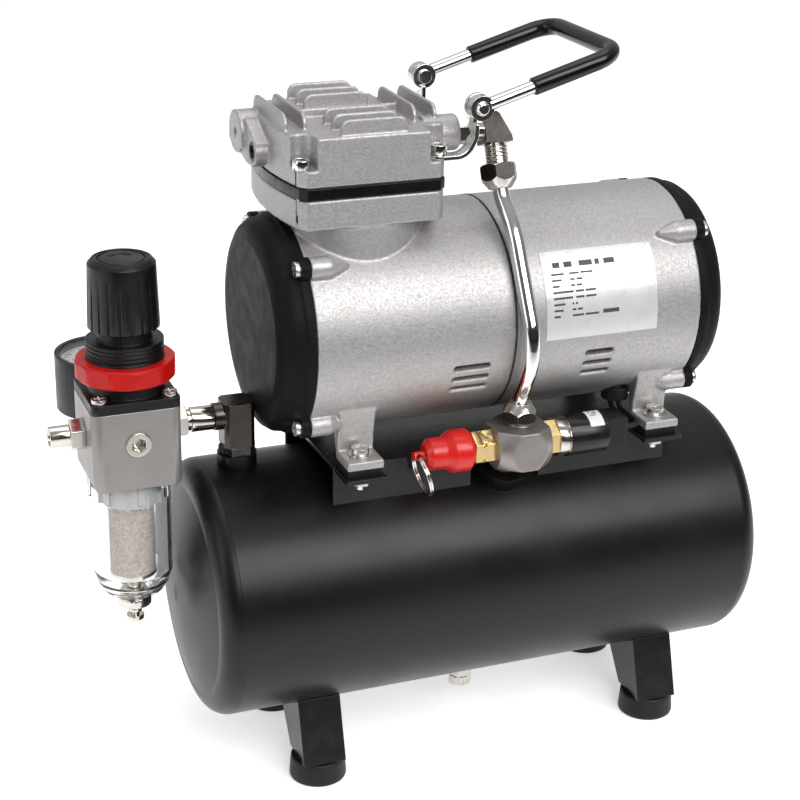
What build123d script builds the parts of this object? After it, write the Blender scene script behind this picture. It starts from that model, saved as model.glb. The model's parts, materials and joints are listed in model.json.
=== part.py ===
from build123d import *
import math
import os

# Airbrush compressor with an air tank.  All sizes in millimetres.
# Frame: X along the tank from the regulator end to the fan end, Y from front to back, Z up.
# The dimensions below count X and Y from the middle of the motor and Z from the floor.  Every
# node is saved in the part's own frame, whose origin is on the floor, under the middle of the
# whole machine's outline: FRAME_X, FRAME_Y is where the motor's middle lies in that frame.

# ---- driving dimensions -------------------------------------------------------------------
FRAME_X = 30.6
FRAME_Y = -2.97

# Air tank
TANK_X = -3.7             # middle of the tank, slightly left of the motor's
TANK_R = 60.0             # outside radius of the tank
TANK_Z = 89.0             # height of the tank axis
TANK_HALF = 125.0         # half of the straight shell
TANK_WALL = 1.6
DOME = 16.0               # how far each dished end stands out
INLET_X = -114.0          # tank port of the regulator pipe
PORT_BORE = 4.2           # bore radius of the small air ports

# Feet
FOOT_X = 87.0
FOOT_Y = 35.0
RUBBER_R = 13.5
RUBBER_H = 11.0
SHEET = 2.0               # thickness of the bent steel brackets
FOOT_WIDTH = 20.5

# Motor
MOTOR_R = 49.3
MOTOR_Z = 214.3
MOTOR_WALL = 4.0
MOTOR_HALF = 92.0         # half of the two castings together
COVER_DEPTH = 15.0
COVER_WALL = 2.4
CORNER = 36.0             # cover screws sit at this Y and Z from the motor axis
RIB_R = 5.0               # ribs that carry the cover screws
RIB_L = 18.0
MOUNT_XS = (-70.0, 76.0)  # the two pairs of motor feet
MOUNT_Y = 42.0
MOUNT_TOP = 164.0         # top face of the cast motor feet
BASE_X = (-80.0, 86.0)    # ends of the steel base between tank and motor
BASE_Y = 35.0             # half width of the base between its tabs
TAB_HALF = 9.6            # half width of a tab under a motor foot
TAB_Y = 52.0
PAD_H = 3.6
MOUNT_HOLE_R = 2.3
SHAFT_R = 5.0
BULKHEAD_LEFT = (-49.0, -41.0)
BULKHEAD_RIGHT = (51.0, 59.0)
BEARING_R = 11.0
STATOR = (-24.0, 40.0)
ROTOR_R = 24.2
AIR_GAP = 0.4
FIT = 0.04                # radial clearance of running fits

# Compressor head
CYL_X = -62.7             # axis of the cylinder
SKIRT_R = 33.8            # round base of the cylinder
HEAD_X = -61.7            # middle of the head block
HEAD_Y = 3.3
HEAD_HALF_X = 36.7
HEAD_HALF_Y = 37.5
FLANGE_Z = 265.6
SLEEVE_TOP = 278.6
PLATE_TOP = 284.2
GASKET = 0.5
BOLT_SEAT = 291.4
HEAD_TOP = 305.0
FIN_TOP = 312.0
HEAD_BOLT_X = 30.8        # bolts from the middle of the head block
HEAD_BOLT_Y = 31.5
BORE_R = 18.0
SLEEVE_R = 22.0
CRANK_R = 8.0             # half of the piston stroke
ROD_X = (-66.7, -58.7)
PIN_END = -57.1           # the crank pin stops just short of the crank web

# Air ports of the head
PORT_X = -104.4
PORT_Y = 3.0
PORT_Z = 292.0
OUTLET_Y = -14.5
OUTLET_Z = 298.7

# Outlet pipe and manifold
LEAN = 22.0               # the outlet elbow is turned this far forward
PIPE_X = 3.7              # plane of the bent discharge tube
ELBOW_X = 0.7             # middle of the outlet elbow, a little left of the tube's plane
PIPE_R = 3.6
NIPPLE_R = 4.9
MANIFOLD_Y = -48.0
MANIFOLD_Z = 162.5
MANIFOLD_HALF = 13.5      # half of the square bar
MANIFOLD_RIGHT = 12.0     # from the tube to the switch's side of the block
MANIFOLD_HALF_H = 9.0
BOSS_ANGLE = 29.0         # the manifold's boss on the tank, forward of the top
BOSS_R = 12.4
BOSS_H = 6.0
RING_LEAN = 15.0          # the pull ring leans this far toward the cap

# Handle
HANDLE_X = -14.5
HANDLE_Z = 313.5
HANDLE_Y = 34.4
STRAP_Y = 30.6            # middle of the two chrome straps
STRAP_T = 2.0             # thickness of the straps
STRAP_W = 7.0
EAR_GAP = 3.0             # from the middle of the bail's eye to the bracket's ear
HANDLE_END_X = 50.0
HANDLE_END_Z = 333.2
BAIL_R = 2.8
GRIP_R = 3.9

# Filter regulator
REG_X = -163.5
REG_HALF = 19.8
REG_BOTTOM = 152.0
REG_TOP = 188.0
REG_PORT_Z = 173.0
PLATE_H = 4.5
NECK_R = 17.0
RING_Z = (198.3, 207.1)
RING_R = 22.0
KNOB_Z = (221.2, 251.4)
KNOB_R = 15.6
BOWL_R = 18.0
BOWL_BOTTOM = 91.0
BOWL_WALL = 2.0
DRAIN_TIP = 77.5
GAUGE_Y = 45.5
GAUGE_Z = (167.0, 193.0)
GAUGE_R = 22.0

X_DIR = Vector(1, 0, 0)
Y_DIR = Vector(0, 1, 0)
Z_DIR = Vector(0, 0, 1)


# ---- small builders ------------------------------------------------------------------------
def rod(start, direction, length, radius):
    """A cylinder from start along direction."""
    return extrude(Plane(origin=start, z_dir=direction) * Circle(radius), length)


def ring(start, direction, length, outer, inner):
    """A hollow cylinder."""
    return rod(start, direction, length, outer) - rod(start, direction, length, inner)


def hexagon(start, direction, length, across):
    """A hexagonal bar measured across its flats."""
    sketch = Plane(origin=start, z_dir=direction) * RegularPolygon(across / 2, 6, major_radius=False)
    return extrude(sketch, length)


def pipe_nut(start, direction, length, across, first, last):
    """A hexagon nut with a cone at each end; first and last are (end radius, cone length)."""
    corner = across / math.sqrt(3)
    nut = hexagon(start, direction, length, across)
    away = Vector(*direction)
    end = Vector(*start) + away * length
    for origin, along, (radius, cone) in ((start, away, first), (end, away * -1, last)):
        slope = (corner - radius) / cone
        nut &= tapered(origin, along, length, radius, radius + slope * length)
    return nut


def block(x0, x1, y0, y1, z0, z1):
    """A box between two corners."""
    middle = ((x0 + x1) / 2, (y0 + y1) / 2, (z0 + z1) / 2)
    return Pos(*middle) * Box(x1 - x0, y1 - y0, z1 - z0)


def tapered(start, direction, length, radius_start, radius_end):
    """A cone frustum from start along direction."""
    plane = Plane(origin=start, z_dir=direction)
    return plane * Pos(0, 0, length / 2) * Cone(radius_start, radius_end, length)


def polygon_yz(points, x0, x1):
    """A plate of the given Y, Z outline between two X stations."""
    corners = [(x0, y, z) for y, z in points]
    face = make_face(Polyline(*corners, close=True))
    return extrude(face, x1 - x0, dir=X_DIR)


def revolve_x(points):
    """A solid turned about the X axis through the origin, from X, radius points."""
    corners = [(x, 0, r) for x, r in points]
    face = make_face(Polyline(*corners, close=True))
    return revolve(face, Axis.X, 360)


def revolve_z(points, x, y):
    """A solid turned about a vertical axis, from radius, Z points."""
    corners = [(r, 0, z) for r, z in points]
    face = make_face(Polyline(*corners, close=True))
    return Pos(x, y, 0) * revolve(face, Axis.Z, 360)


def shank_screw(seat, direction, head_r, head_h, shank_r, shank_l, slot=None):
    """A screw whose head stands on the seat and whose shank goes the other way."""
    head = rod(seat, direction, head_h, head_r)
    back = Vector(*direction) * -1
    body = head + rod(seat, back, shank_l, shank_r)
    if slot == "cross":
        top = Vector(*seat) + Vector(*direction) * (head_h - 1.0)
        plane = Plane(origin=top, z_dir=direction)
        body -= extrude(plane * Rectangle(head_r * 1.3, 0.9), 1.2)
        body -= extrude(plane * Rectangle(0.9, head_r * 1.3), 1.2)
    if slot == "hex":
        top = Vector(*seat) + Vector(*direction) * (head_h - 2.2)
        body -= hexagon(top, direction, 2.4, head_r)
    return body


def save(name, *shapes):
    """Write every solid of one node to its own STEP file."""
    solids = []
    for shape in shapes:
        solids.extend((Pos(FRAME_X, FRAME_Y, 0) * shape).solids())
    export_step(Compound(solids), f"parts/{name}.step")
    print(name, len(solids))


def corners(x, y):
    """The four sign combinations of an X, Y pair."""
    return [(sx * x, sy * y) for sx in (-1, 1) for sy in (-1, 1)]


TANK_SOLID = rod((TANK_X - TANK_HALF, 0, TANK_Z), X_DIR, 2 * TANK_HALF, TANK_R)
BOSS_DIR = Vector(0, -math.sin(math.radians(BOSS_ANGLE)), math.cos(math.radians(BOSS_ANGLE)))
TANK_CENTRE = Vector(PIPE_X, 0, TANK_Z)


# ---- air tank -------------------------------------------------------------------------------
def crown(edge_x, edge_r, tip_x):
    """The round middle of a dished end: an arc centred on the tank axis."""
    depth = tip_x - edge_x
    radius = (edge_r ** 2 + depth ** 2) / (2 * depth)
    half_angle = math.asin(edge_r / radius) / 2
    middle = (tip_x - radius + radius * math.cos(half_angle), 0, radius * math.sin(half_angle))
    return ThreePointArc((edge_x, 0, edge_r), middle, (tip_x, 0, 0))


def build_tank():
    inner = TANK_R - TANK_WALL
    start = (TANK_X - TANK_HALF, 0, TANK_Z)
    shell = ring(start, X_DIR, 2 * TANK_HALF, TANK_R, inner)
    shell -= rod((INLET_X, 0, TANK_Z), Z_DIR, TANK_R + 5, PORT_BORE)
    shell -= rod((0, 0, TANK_Z), Z_DIR * -1, TANK_R + 5, PORT_BORE)
    shell -= rod(TANK_CENTRE, BOSS_DIR, TANK_R + 5, PORT_BORE)
    save("tank_shell", shell)

    lap = 6.0
    knuckle = TANK_HALF + 0.56 * DOME
    wire = [
        ThreePointArc((TANK_HALF, 0, TANK_R), (TANK_HALF + 0.4 * DOME, 0, TANK_R - 3.2),
                      (knuckle, 0, TANK_R - 11)),
        crown(knuckle, TANK_R - 11, TANK_HALF + DOME),
        Line((TANK_HALF + DOME, 0, 0), (TANK_HALF + DOME - SHEET, 0, 0)),
        crown(knuckle - 1.6, TANK_R - 12.2, TANK_HALF + DOME - SHEET),
        ThreePointArc((knuckle - 1.6, 0, TANK_R - 12.2), (TANK_HALF + 4.6, 0, TANK_R - 5.0),
                      (TANK_HALF, 0, inner - SHEET)),
        Line((TANK_HALF, 0, inner - SHEET), (TANK_HALF - lap, 0, inner - SHEET)),
        Line((TANK_HALF - lap, 0, inner - SHEET), (TANK_HALF - lap, 0, inner)),
        Line((TANK_HALF - lap, 0, inner), (TANK_HALF, 0, inner)),
        Line((TANK_HALF, 0, inner), (TANK_HALF, 0, TANK_R)),
    ]
    cap = revolve(make_face(wire), Axis.X, 360)
    middle = Pos(TANK_X, 0, TANK_Z)
    save("tank_ends", middle * cap, middle * Rot(0, 0, 180) * cap)

    inlet = ring((INLET_X, 0, TANK_Z + TANK_R - 3), Z_DIR, 9.0, 9.0, PORT_BORE)
    manifold = ring(TANK_CENTRE + BOSS_DIR * (TANK_R - 3), BOSS_DIR, BOSS_H + 3, BOSS_R, PORT_BORE)
    drain = ring((0, 0, TANK_Z - TANK_R + 3), Z_DIR * -1, 9.0, 8.0, PORT_BORE)
    bottom = TANK_Z - TANK_R - 6.0
    body = hexagon((0, 0, bottom - 5.0), Z_DIR, 5.0, 11.0)
    body += rod((0, 0, bottom), Z_DIR, 6.0, PORT_BORE)
    body -= rod((0, 0, bottom - 5.0), Z_DIR, 12.0, 2.5)
    save("tank_ports", inlet - TANK_SOLID, manifold - TANK_SOLID, drain - TANK_SOLID, body)
    knob = rod((0, 0, bottom - 10.0), Z_DIR, 4.6, 5.6) + rod((0, 0, bottom - 6.0), Z_DIR, 5.0, 2.5 - FIT)
    for i in range(12):
        notch = rod((0, 0, bottom - 10.5), Z_DIR, 6.0, 0.5)
        knob -= Rot(0, 0, 30 * i) * Pos(5.8, 0, 0) * notch
    save("drain_screw", knob)


def build_feet():
    """The four foot brackets and their rubbers; returns the fasteners."""
    brackets, rubbers, screws, nuts = [], [], [], []
    outer = [(46, 11), (36.5, 41), (28, 40), (10, 31), (25, 11)]
    hollow = [(43.6, 13), (34.4, 42), (10, 60), (0, 40), (0, 13)]
    half = FOOT_WIDTH / 2
    bracket = polygon_yz(outer, -half, half) - polygon_yz(hollow, SHEET - half, half - SHEET)
    bracket -= TANK_SOLID
    bracket -= rod((0, FOOT_Y, 10), Z_DIR, 4.0, 2.7)
    rubber = tapered((0, FOOT_Y, 0), Z_DIR, RUBBER_H, RUBBER_R, RUBBER_R - 0.8)
    rubber -= rod((0, FOOT_Y, 0), Z_DIR, 4.5, 6.0)
    rubber -= rod((0, FOOT_Y, 0), Z_DIR, RUBBER_H, 2.6)
    screw = shank_screw((0, FOOT_Y, 4.5), (0, 0, -1), 4.6, 2.6, 2.5, 15.0, "cross")
    nut = hexagon((0, FOOT_Y, 13), Z_DIR, 3.6, 8.0) - rod((0, FOOT_Y, 12), Z_DIR, 6.0, 2.5)
    for sx in (-1, 1):
        for turn in (0, 180):
            place = Pos(sx * FOOT_X, 0, 0) * Rot(0, 0, turn)
            brackets.append(place * bracket)
            rubbers.append(place * rubber)
            screws.append(place * screw)
            nuts.append(place * nut)
    save("foot_brackets", *brackets)
    save("rubber_feet", *rubbers)
    return screws + nuts


# ---- motor mounts ---------------------------------------------------------------------------
def build_base(top):
    """The steel base: a channel on the tank, with a tab out to every motor foot."""
    x0, x1 = BASE_X
    low = TANK_Z + math.sqrt(TANK_R ** 2 - BASE_Y ** 2) - SHEET
    base = block(x0, x1, -BASE_Y, BASE_Y, low, top) - TANK_SOLID
    base -= block(x0 - 1, x1 + 1, SHEET - BASE_Y, BASE_Y - SHEET, low - 1, top - SHEET)
    # A notch in the front flange clears the manifold and its boss.
    base -= block(PIPE_X - 17, PIPE_X + 17, -BASE_Y - 1, -BASE_Y + 4, low - 1, top + 1)
    for x in MOUNT_XS:
        base += block(x - TAB_HALF, x + TAB_HALF, -TAB_Y, TAB_Y, top - SHEET, top)
        for sy in (-1, 1):
            base -= rod((x, sy * MOUNT_Y, top - SHEET - 1), Z_DIR, SHEET + 2, MOUNT_HOLE_R)
    return base


def build_mounts(foot_fasteners):
    """The steel base below the motor, the rubber pads, and every mounting fastener."""
    foot_h = 4.0
    nut_h = 3.2
    washer_h = 0.9
    pad_bottom = MOUNT_TOP - foot_h - PAD_H
    pads, washers, screws, nuts = [], [], [], []
    for x in MOUNT_XS:
        for sy in (-1, 1):
            y = sy * MOUNT_Y
            pad = block(x - 8, x + 8, y - 7, y + 9, pad_bottom, pad_bottom + PAD_H)
            pads.append(pad - rod((x, y, pad_bottom - 1), Z_DIR, PAD_H + 2, MOUNT_HOLE_R))
            washers.append(ring((x, y, MOUNT_TOP), Z_DIR, washer_h, 5.2, MOUNT_HOLE_R))
            below = pad_bottom - SHEET - washer_h
            washers.append(ring((x, y, below), Z_DIR, washer_h, 5.2, MOUNT_HOLE_R))
            head_seat = (x, y, MOUNT_TOP + washer_h)
            screws.append(shank_screw(head_seat, Z_DIR, 4.0, 3.0, 2.0, 17.0, "cross"))
            nut_z = below - nut_h
            nuts.append(hexagon((x, y, nut_z), Z_DIR, nut_h, 8.0) - rod((x, y, nut_z), Z_DIR, nut_h, 2.0))
    save("motor_brackets", build_base(pad_bottom))
    save("mount_pads", *pads)
    save("mounting_fasteners", *foot_fasteners, *washers, *screws, *nuts)


def cast_foot(x, sy):
    """A cast lug that stands out from the motor housing, level under its pad face."""
    y = sy * MOUNT_Y
    plate = block(x - 8.5, x + 8.5, min(y - 8, y + 8), max(y - 8, y + 8), MOUNT_TOP - 4, MOUNT_TOP)
    web = [(sy * 34, MOUNT_TOP - 4), (sy * 35.6, MOUNT_TOP - 4), (sy * 36.4, MOUNT_TOP + 7),
           (sy * 41, MOUNT_TOP + 26), (sy * 28, MOUNT_TOP + 26), (sy * 30, MOUNT_TOP + 10)]
    lug = plate + polygon_yz(web, x - 8.5, x + 8.5)
    return lug - rod((x, y, 140), Z_DIR, 40, 2.3)


def cover_bosses(x0, x1):
    """The four ribs that carry the cover screws, pointed at the end away from the cover."""
    made = []
    direction = (math.copysign(1, x1 - x0), 0, 0)
    straight = abs(x1 - x0) / 2
    for y, z in corners(CORNER, CORNER):
        rib = rod((x0, y, MOTOR_Z + z), direction, straight, RIB_R)
        middle_x = (x0 + x1) / 2
        rib += tapered((middle_x, y, MOTOR_Z + z), direction, straight, RIB_R, 1.0)
        made.append(rib)
    return made


def vent_slots(x0, x1):
    """Three slanted air slots on the front and on the back of a casting."""
    cuts = []
    for side in (-1, 1):
        for angle in (15.8, 22.8, 29.8):
            radians = math.radians(angle)
            direction = Vector(0, side * math.cos(radians), -math.sin(radians))
            origin = Vector((x0 + x1) / 2, 0, MOTOR_Z) + direction * (MOTOR_R - 8)
            plane = Plane(origin=origin, x_dir=X_DIR, z_dir=direction)
            cuts.append(extrude(plane * Rectangle(x1 - x0, 2.6), 12))
    return cuts


def build_castings():
    inner = MOTOR_R - MOTOR_WALL
    cavity = ring((-MOTOR_HALF, 0, MOTOR_Z), X_DIR, MOTOR_HALF, MOTOR_R, inner)

    # Left casting: crankcase, cylinder base and the feet below the cylinder.
    left = cavity
    for rib in cover_bosses(-MOTOR_HALF, -MOTOR_HALF + RIB_L):
        left += rib
    for sy in (-1, 1):
        left += cast_foot(MOUNT_XS[0], sy)
    skirt = rod((CYL_X, 0, MOTOR_Z), Z_DIR, FLANGE_Z - MOTOR_Z, SKIRT_R)
    skirt &= block(-MOTOR_HALF, 0, -60, 60, MOTOR_Z, FLANGE_Z)
    left += skirt + flange_block(FLANGE_Z, SLEEVE_TOP)
    left -= rod((-MOTOR_HALF, 0, MOTOR_Z), X_DIR, MOTOR_HALF, inner)
    wall = rod((BULKHEAD_LEFT[0], 0, MOTOR_Z), X_DIR, BULKHEAD_LEFT[1] - BULKHEAD_LEFT[0], inner)
    left += wall
    left -= rod((-60, 0, MOTOR_Z), X_DIR, 30, BEARING_R)
    left -= rod((CYL_X, 0, MOTOR_Z), Z_DIR, 80, SLEEVE_R)
    for y, z in corners(CORNER, CORNER):
        left -= rod((-MOTOR_HALF - 1, y, MOTOR_Z + z), X_DIR, 12, 1.5)
    for dx, dy in corners(HEAD_BOLT_X, HEAD_BOLT_Y):
        left -= rod((HEAD_X + dx, HEAD_Y + dy, FLANGE_Z + 2), Z_DIR, 20, 2.0)
    for cut in vent_slots(-28.5, -11.0):
        left -= cut
    save("crankcase", left)

    # Right casting: motor housing with the rear bearing wall.
    right = ring((0, 0, MOTOR_Z), X_DIR, MOTOR_HALF, MOTOR_R, inner)
    for rib in cover_bosses(MOTOR_HALF, MOTOR_HALF - RIB_L):
        right += rib
    for sy in (-1, 1):
        right += cast_foot(MOUNT_XS[1], sy)
    right -= rod((0, 0, MOTOR_Z), X_DIR, MOTOR_HALF, inner)
    spider = rod((BULKHEAD_RIGHT[0], 0, MOTOR_Z), X_DIR, BULKHEAD_RIGHT[1] - BULKHEAD_RIGHT[0], inner)
    spider -= rod((50, 0, MOTOR_Z), X_DIR, 30, BEARING_R)
    for i in range(6):
        window = rod((50, 0, MOTOR_Z + 30), X_DIR, 30, 8.0)
        spider -= Pos(0, 0, MOTOR_Z) * Rot(60 * i + 30, 0, 0) * Pos(0, 0, -MOTOR_Z) * window
    right += spider
    for y, z in corners(CORNER, CORNER):
        right -= rod((MOTOR_HALF - 11, y, MOTOR_Z + z), X_DIR, 12, 1.5)
    for cut in vent_slots(35.5, 49.5):
        right -= cut
    right -= rod((GROMMET[0], GROMMET[1], GROMMET[2] - 4), Z_DIR, 14, 4.0)
    right -= rod((GLAND_X, 30, GLAND_Z), Y_DIR, 30, 5.0)
    save("motor_casing", right)


def head_outline(grow=0.0):
    """The rounded square of the cylinder head, its left and right sides bulged."""
    hx = HEAD_HALF_X + grow
    hy = HEAD_HALF_Y + grow
    bulge = 4.2
    edges = [
        Line((-hx + bulge + 3, -hy), (hx - bulge - 3, -hy)),
        Line((hx - bulge - 3, -hy), (hx - bulge, -hy + 3)),
        ThreePointArc((hx - bulge, -hy + 3), (hx, 0), (hx - bulge, hy - 3)),
        Line((hx - bulge, hy - 3), (hx - bulge - 3, hy)),
        Line((hx - bulge - 3, hy), (-hx + bulge + 3, hy)),
        Line((-hx + bulge + 3, hy), (-hx + bulge, hy - 3)),
        ThreePointArc((-hx + bulge, hy - 3), (-hx, 0), (-hx + bulge, -hy + 3)),
        Line((-hx + bulge, -hy + 3), (-hx + bulge + 3, -hy)),
    ]
    return make_face(edges)


def flange_block(z0, z1, grow=0.0):
    """A slab of the head outline between two heights."""
    return Pos(HEAD_X, HEAD_Y, z0) * extrude(head_outline(grow), z1 - z0)


def build_covers():
    rim = 4.0
    depth = COVER_DEPTH
    step = [(0, MOTOR_R), (rim, MOTOR_R), (rim + 0.6, MOTOR_R - 0.8)]
    outer = [(depth - 5.5, 47.6), (depth - 2.6, 45.6), (depth - 0.9, 42.6), (depth, 38)]
    inner = [(x - COVER_WALL, r - COVER_WALL) for x, r in outer]
    profile = step + outer + [(depth, 0), (depth - COVER_WALL, 0)] + inner[::-1]
    profile += [(0, MOTOR_R - 4.2)]
    dome = revolve_x([(x, r) for x, r in profile])
    lugs = None
    for y, z in corners(CORNER, CORNER):
        lug = rod((0, y, z), X_DIR, rim, 5.0) - rod((0, 0, 0), X_DIR, rim, MOTOR_R - 2.0)
        lugs = lug if lugs is None else lugs + lug
    cover = dome + lugs
    for y, z in corners(CORNER, CORNER):
        cover -= rod((-1, y, z), X_DIR, rim + 2, 1.8)
        cover -= rod((rim, y, z), X_DIR, depth, 4.2)
    right = Pos(MOTOR_HALF, 0, MOTOR_Z) * cover
    left = Pos(-MOTOR_HALF, 0, MOTOR_Z) * Rot(0, 0, 180) * cover
    # The fan draws its air through slots in the right cover.
    for i in range(-3, 4):
        half = math.sqrt(30.0 ** 2 - (7.0 * i) ** 2)
        z = MOTOR_Z + 7 * i
        right -= block(MOTOR_HALF + 6, MOTOR_HALF + 30, -half, half, z - 1.5, z + 1.5)
    save("left_end_cover", left)
    save("right_end_cover", right)
    screws = []
    for y, z in corners(CORNER, CORNER):
        seat = MOTOR_HALF + rim
        screws.append(shank_screw((seat, y, MOTOR_Z + z), (1, 0, 0), 3.6, 2.4, 1.5, 13.0, "cross"))
        screws.append(shank_screw((-seat, y, MOTOR_Z + z), (-1, 0, 0), 3.6, 2.4, 1.5, 13.0, "cross"))
    return screws


def build_motor_inside():
    length = STATOR[1] - STATOR[0]
    start = (STATOR[0], 0, MOTOR_Z)
    core = ring(start, X_DIR, length, MOTOR_R - MOTOR_WALL, ROTOR_R + AIR_GAP)
    slot = block(STATOR[0], STATOR[1], -3.0, 3.0, ROTOR_R + 3.0, ROTOR_R + 14)
    mouth = block(STATOR[0], STATOR[1], -1.0, 1.0, ROTOR_R - 1, ROTOR_R + 4)
    coil_bar = block(STATOR[0] - 9, STATOR[1] + 9, -2.8, 2.8, ROTOR_R + 3.4, ROTOR_R + 13.6)
    windings = ring((STATOR[0] - 9, 0, MOTOR_Z), X_DIR, 8.5, ROTOR_R + 14, ROTOR_R + 3)
    windings += ring((STATOR[1] + 0.5, 0, MOTOR_Z), X_DIR, 8.5, ROTOR_R + 14, ROTOR_R + 3)
    for i in range(12):
        turn = Pos(0, 0, MOTOR_Z) * Rot(30 * i, 0, 0)
        core -= turn * slot
        core -= turn * mouth
        windings += turn * coil_bar
    save("stator_core", core)
    save("stator_windings", windings)
    save("rotor_core", ring(start, X_DIR, length, ROTOR_R, SHAFT_R))
    shaft = rod((-56.8, 0, MOTOR_Z), X_DIR, 142, SHAFT_R)
    shaft -= rod((84, 0, MOTOR_Z), X_DIR, 3, 1.6)

    outers, inners, balls = [], [], []
    for x0, x1 in (BULKHEAD_LEFT, BULKHEAD_RIGHT):
        outers.append(ring((x0, 0, MOTOR_Z), X_DIR, x1 - x0, BEARING_R, 9.0))
        inners.append(ring((x0, 0, MOTOR_Z), X_DIR, x1 - x0, 7.0, SHAFT_R))
        for i in range(7):
            angle = 2 * math.pi * i / 7
            middle = ((x0 + x1) / 2, 8 * math.cos(angle), MOTOR_Z + 8 * math.sin(angle))
            balls.append(Pos(*middle) * Sphere(0.95))
    save("shaft_bearings", *outers, *balls)

    web = rod((-56.8, 0, MOTOR_Z), X_DIR, 6.8, 13.0)
    web += rod((-56.8, 0, MOTOR_Z), X_DIR, 6.8, 25.0) & block(-60, -40, -30, 30, MOTOR_Z - 30, MOTOR_Z - 6)
    web += block(-56.8, -50, -7, 7, MOTOR_Z, MOTOR_Z + CRANK_R + 6)
    web -= rod((-60, 0, MOTOR_Z), X_DIR, 15, SHAFT_R)
    save("crankshaft", shaft, web, *inners)

    hub = ring((72, 0, MOTOR_Z), X_DIR, 12, 9.0, SHAFT_R)
    fan = hub
    root = Plane(origin=(78, 0, MOTOR_Z + 8), x_dir=X_DIR, z_dir=Z_DIR)
    blade = extrude(root * Rot(0, 0, 35) * Rectangle(13, 1.4), 31)
    for i in range(7):
        fan += Pos(0, 0, MOTOR_Z) * Rot(360 / 7 * i, 0, 0) * Pos(0, 0, -MOTOR_Z) * blade
    save("cooling_fan", fan)


def build_piston():
    pin_z = MOTOR_Z + CRANK_R
    x0, x1 = ROD_X
    crown_z = SLEEVE_TOP - 0.6
    middle = (x0 + x1) / 2
    screw_r = 1.6
    pin = rod((PIN_END, 0, pin_z), (-1, 0, 0), PIN_END - x0 + 1.5, 4.0)
    body = rod((x0, 0, pin_z), X_DIR, x1 - x0, 9.5)
    body += block(middle - 3.2, middle + 3.2, -5, 5, pin_z + 6, crown_z - 9)
    body += rod((CYL_X, 0, crown_z - 10.5), Z_DIR, 5.0, 15.0)
    body -= rod((x0 - 1, 0, pin_z), X_DIR, 12, 4.0)
    body -= rod((CYL_X, 0, crown_z - 14), Z_DIR, 12, screw_r)
    save("connecting_rod", body, pin)
    cup = rod((CYL_X, 0, crown_z - 5.5), Z_DIR, 3.5, BORE_R - FIT)
    cup -= rod((CYL_X, 0, crown_z - 4.3), Z_DIR, 4, 16.4)
    cup -= rod((CYL_X, 0, crown_z - 6), Z_DIR, 4, screw_r)
    disc = rod((CYL_X, 0, crown_z - 4.3), Z_DIR, 4.3, 14.5)
    disc -= rod((CYL_X, 0, crown_z - 1.8), Z_DIR, 3, 3.4)
    disc -= rod((CYL_X, 0, crown_z - 6), Z_DIR, 8, screw_r)
    screw = shank_screw((CYL_X, 0, crown_z - 1.8), Z_DIR, 3.2, 1.6, screw_r, 10.0, "cross")
    save("piston_head", cup, disc, screw)
    sleeve_bottom = 246.0
    sleeve = ring((CYL_X, 0, sleeve_bottom), Z_DIR, SLEEVE_TOP - sleeve_bottom, SLEEVE_R, BORE_R)
    save("cylinder_sleeve", sleeve)


# ---- cylinder head ---------------------------------------------------------------------------
CHAMBER_X = 9.5           # middle of each of the two valve chambers, from the cylinder axis


def bolt_holes(radius):
    """Clearance holes of the four head bolts."""
    return [rod((HEAD_X + dx, HEAD_Y + dy, SLEEVE_TOP - 2), Z_DIR, 20, radius)
            for dx, dy in corners(HEAD_BOLT_X, HEAD_BOLT_Y)]


def build_valves():
    lower = flange_block(SLEEVE_TOP, SLEEVE_TOP + GASKET, -0.4)
    lower -= rod((CYL_X, 0, SLEEVE_TOP - 1), Z_DIR, 3, SLEEVE_R)
    upper = flange_block(PLATE_TOP - GASKET, PLATE_TOP, -0.4)
    plate = flange_block(SLEEVE_TOP + GASKET, PLATE_TOP - GASKET, 0.3)
    reeds = []
    for side in (-1, 1):
        x = CYL_X + side * CHAMBER_X
        upper -= block(x - 8, x + 8, -15, 15, SLEEVE_TOP, PLATE_TOP + 1)
        plate -= rod((x, -8, SLEEVE_TOP), Z_DIR, 8, 3.0)
    for cut in bolt_holes(2.3):
        lower -= cut
        upper -= cut
        plate -= cut
    # The outlet reed lies on the plate, the inlet reed hangs below it.
    reeds.append(block(CYL_X + CHAMBER_X - 4, CYL_X + CHAMBER_X + 4, -13, 11,
                       PLATE_TOP - GASKET, PLATE_TOP - GASKET + 0.3))
    inlet = block(CYL_X - CHAMBER_X - 4, CYL_X - CHAMBER_X + 4, -13, 11,
                  SLEEVE_TOP + GASKET - 0.3, SLEEVE_TOP + GASKET)
    reeds.append(inlet)
    save("head_gaskets", lower, upper)
    save("valve_plate", plate, *reeds)


def fin_plate(x0, x1, y0, y1, base, radius, edge_axis):
    """An upright plate whose two top corners are round."""
    plate = block(x0, x1, y0, y1, base, FIN_TOP)
    tops = plate.edges().filter_by(edge_axis).group_by(Axis.Z)[-1]
    return fillet(tops, radius)


def cooling_fins():
    """Two fins across each end, six shorter fins between them, and a low rib along the middle."""
    fins = []
    base = HEAD_TOP - 1
    half = 0.9
    end_y = HEAD_Y + 1.2
    reach = 22.0
    for dx in (-33.8, -25.4, 24.2, 33.4):
        x = HEAD_X + dx
        fins.append(fin_plate(x - half, x + half, end_y - reach, end_y + reach, base, 5.0, Axis.X))
    for dy in (-35.6, -24.6, -13.6, 13.0, 24.2, 35.4):
        y = HEAD_Y + dy
        fins.append(fin_plate(HEAD_X - 15, HEAD_X + 15, y - half, y + half, base, 4.0, Axis.Y))
    fins.append(block(HEAD_X - 25, HEAD_X + 25, HEAD_Y - half, HEAD_Y + half, base, HEAD_TOP + 4))
    return fins


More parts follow.
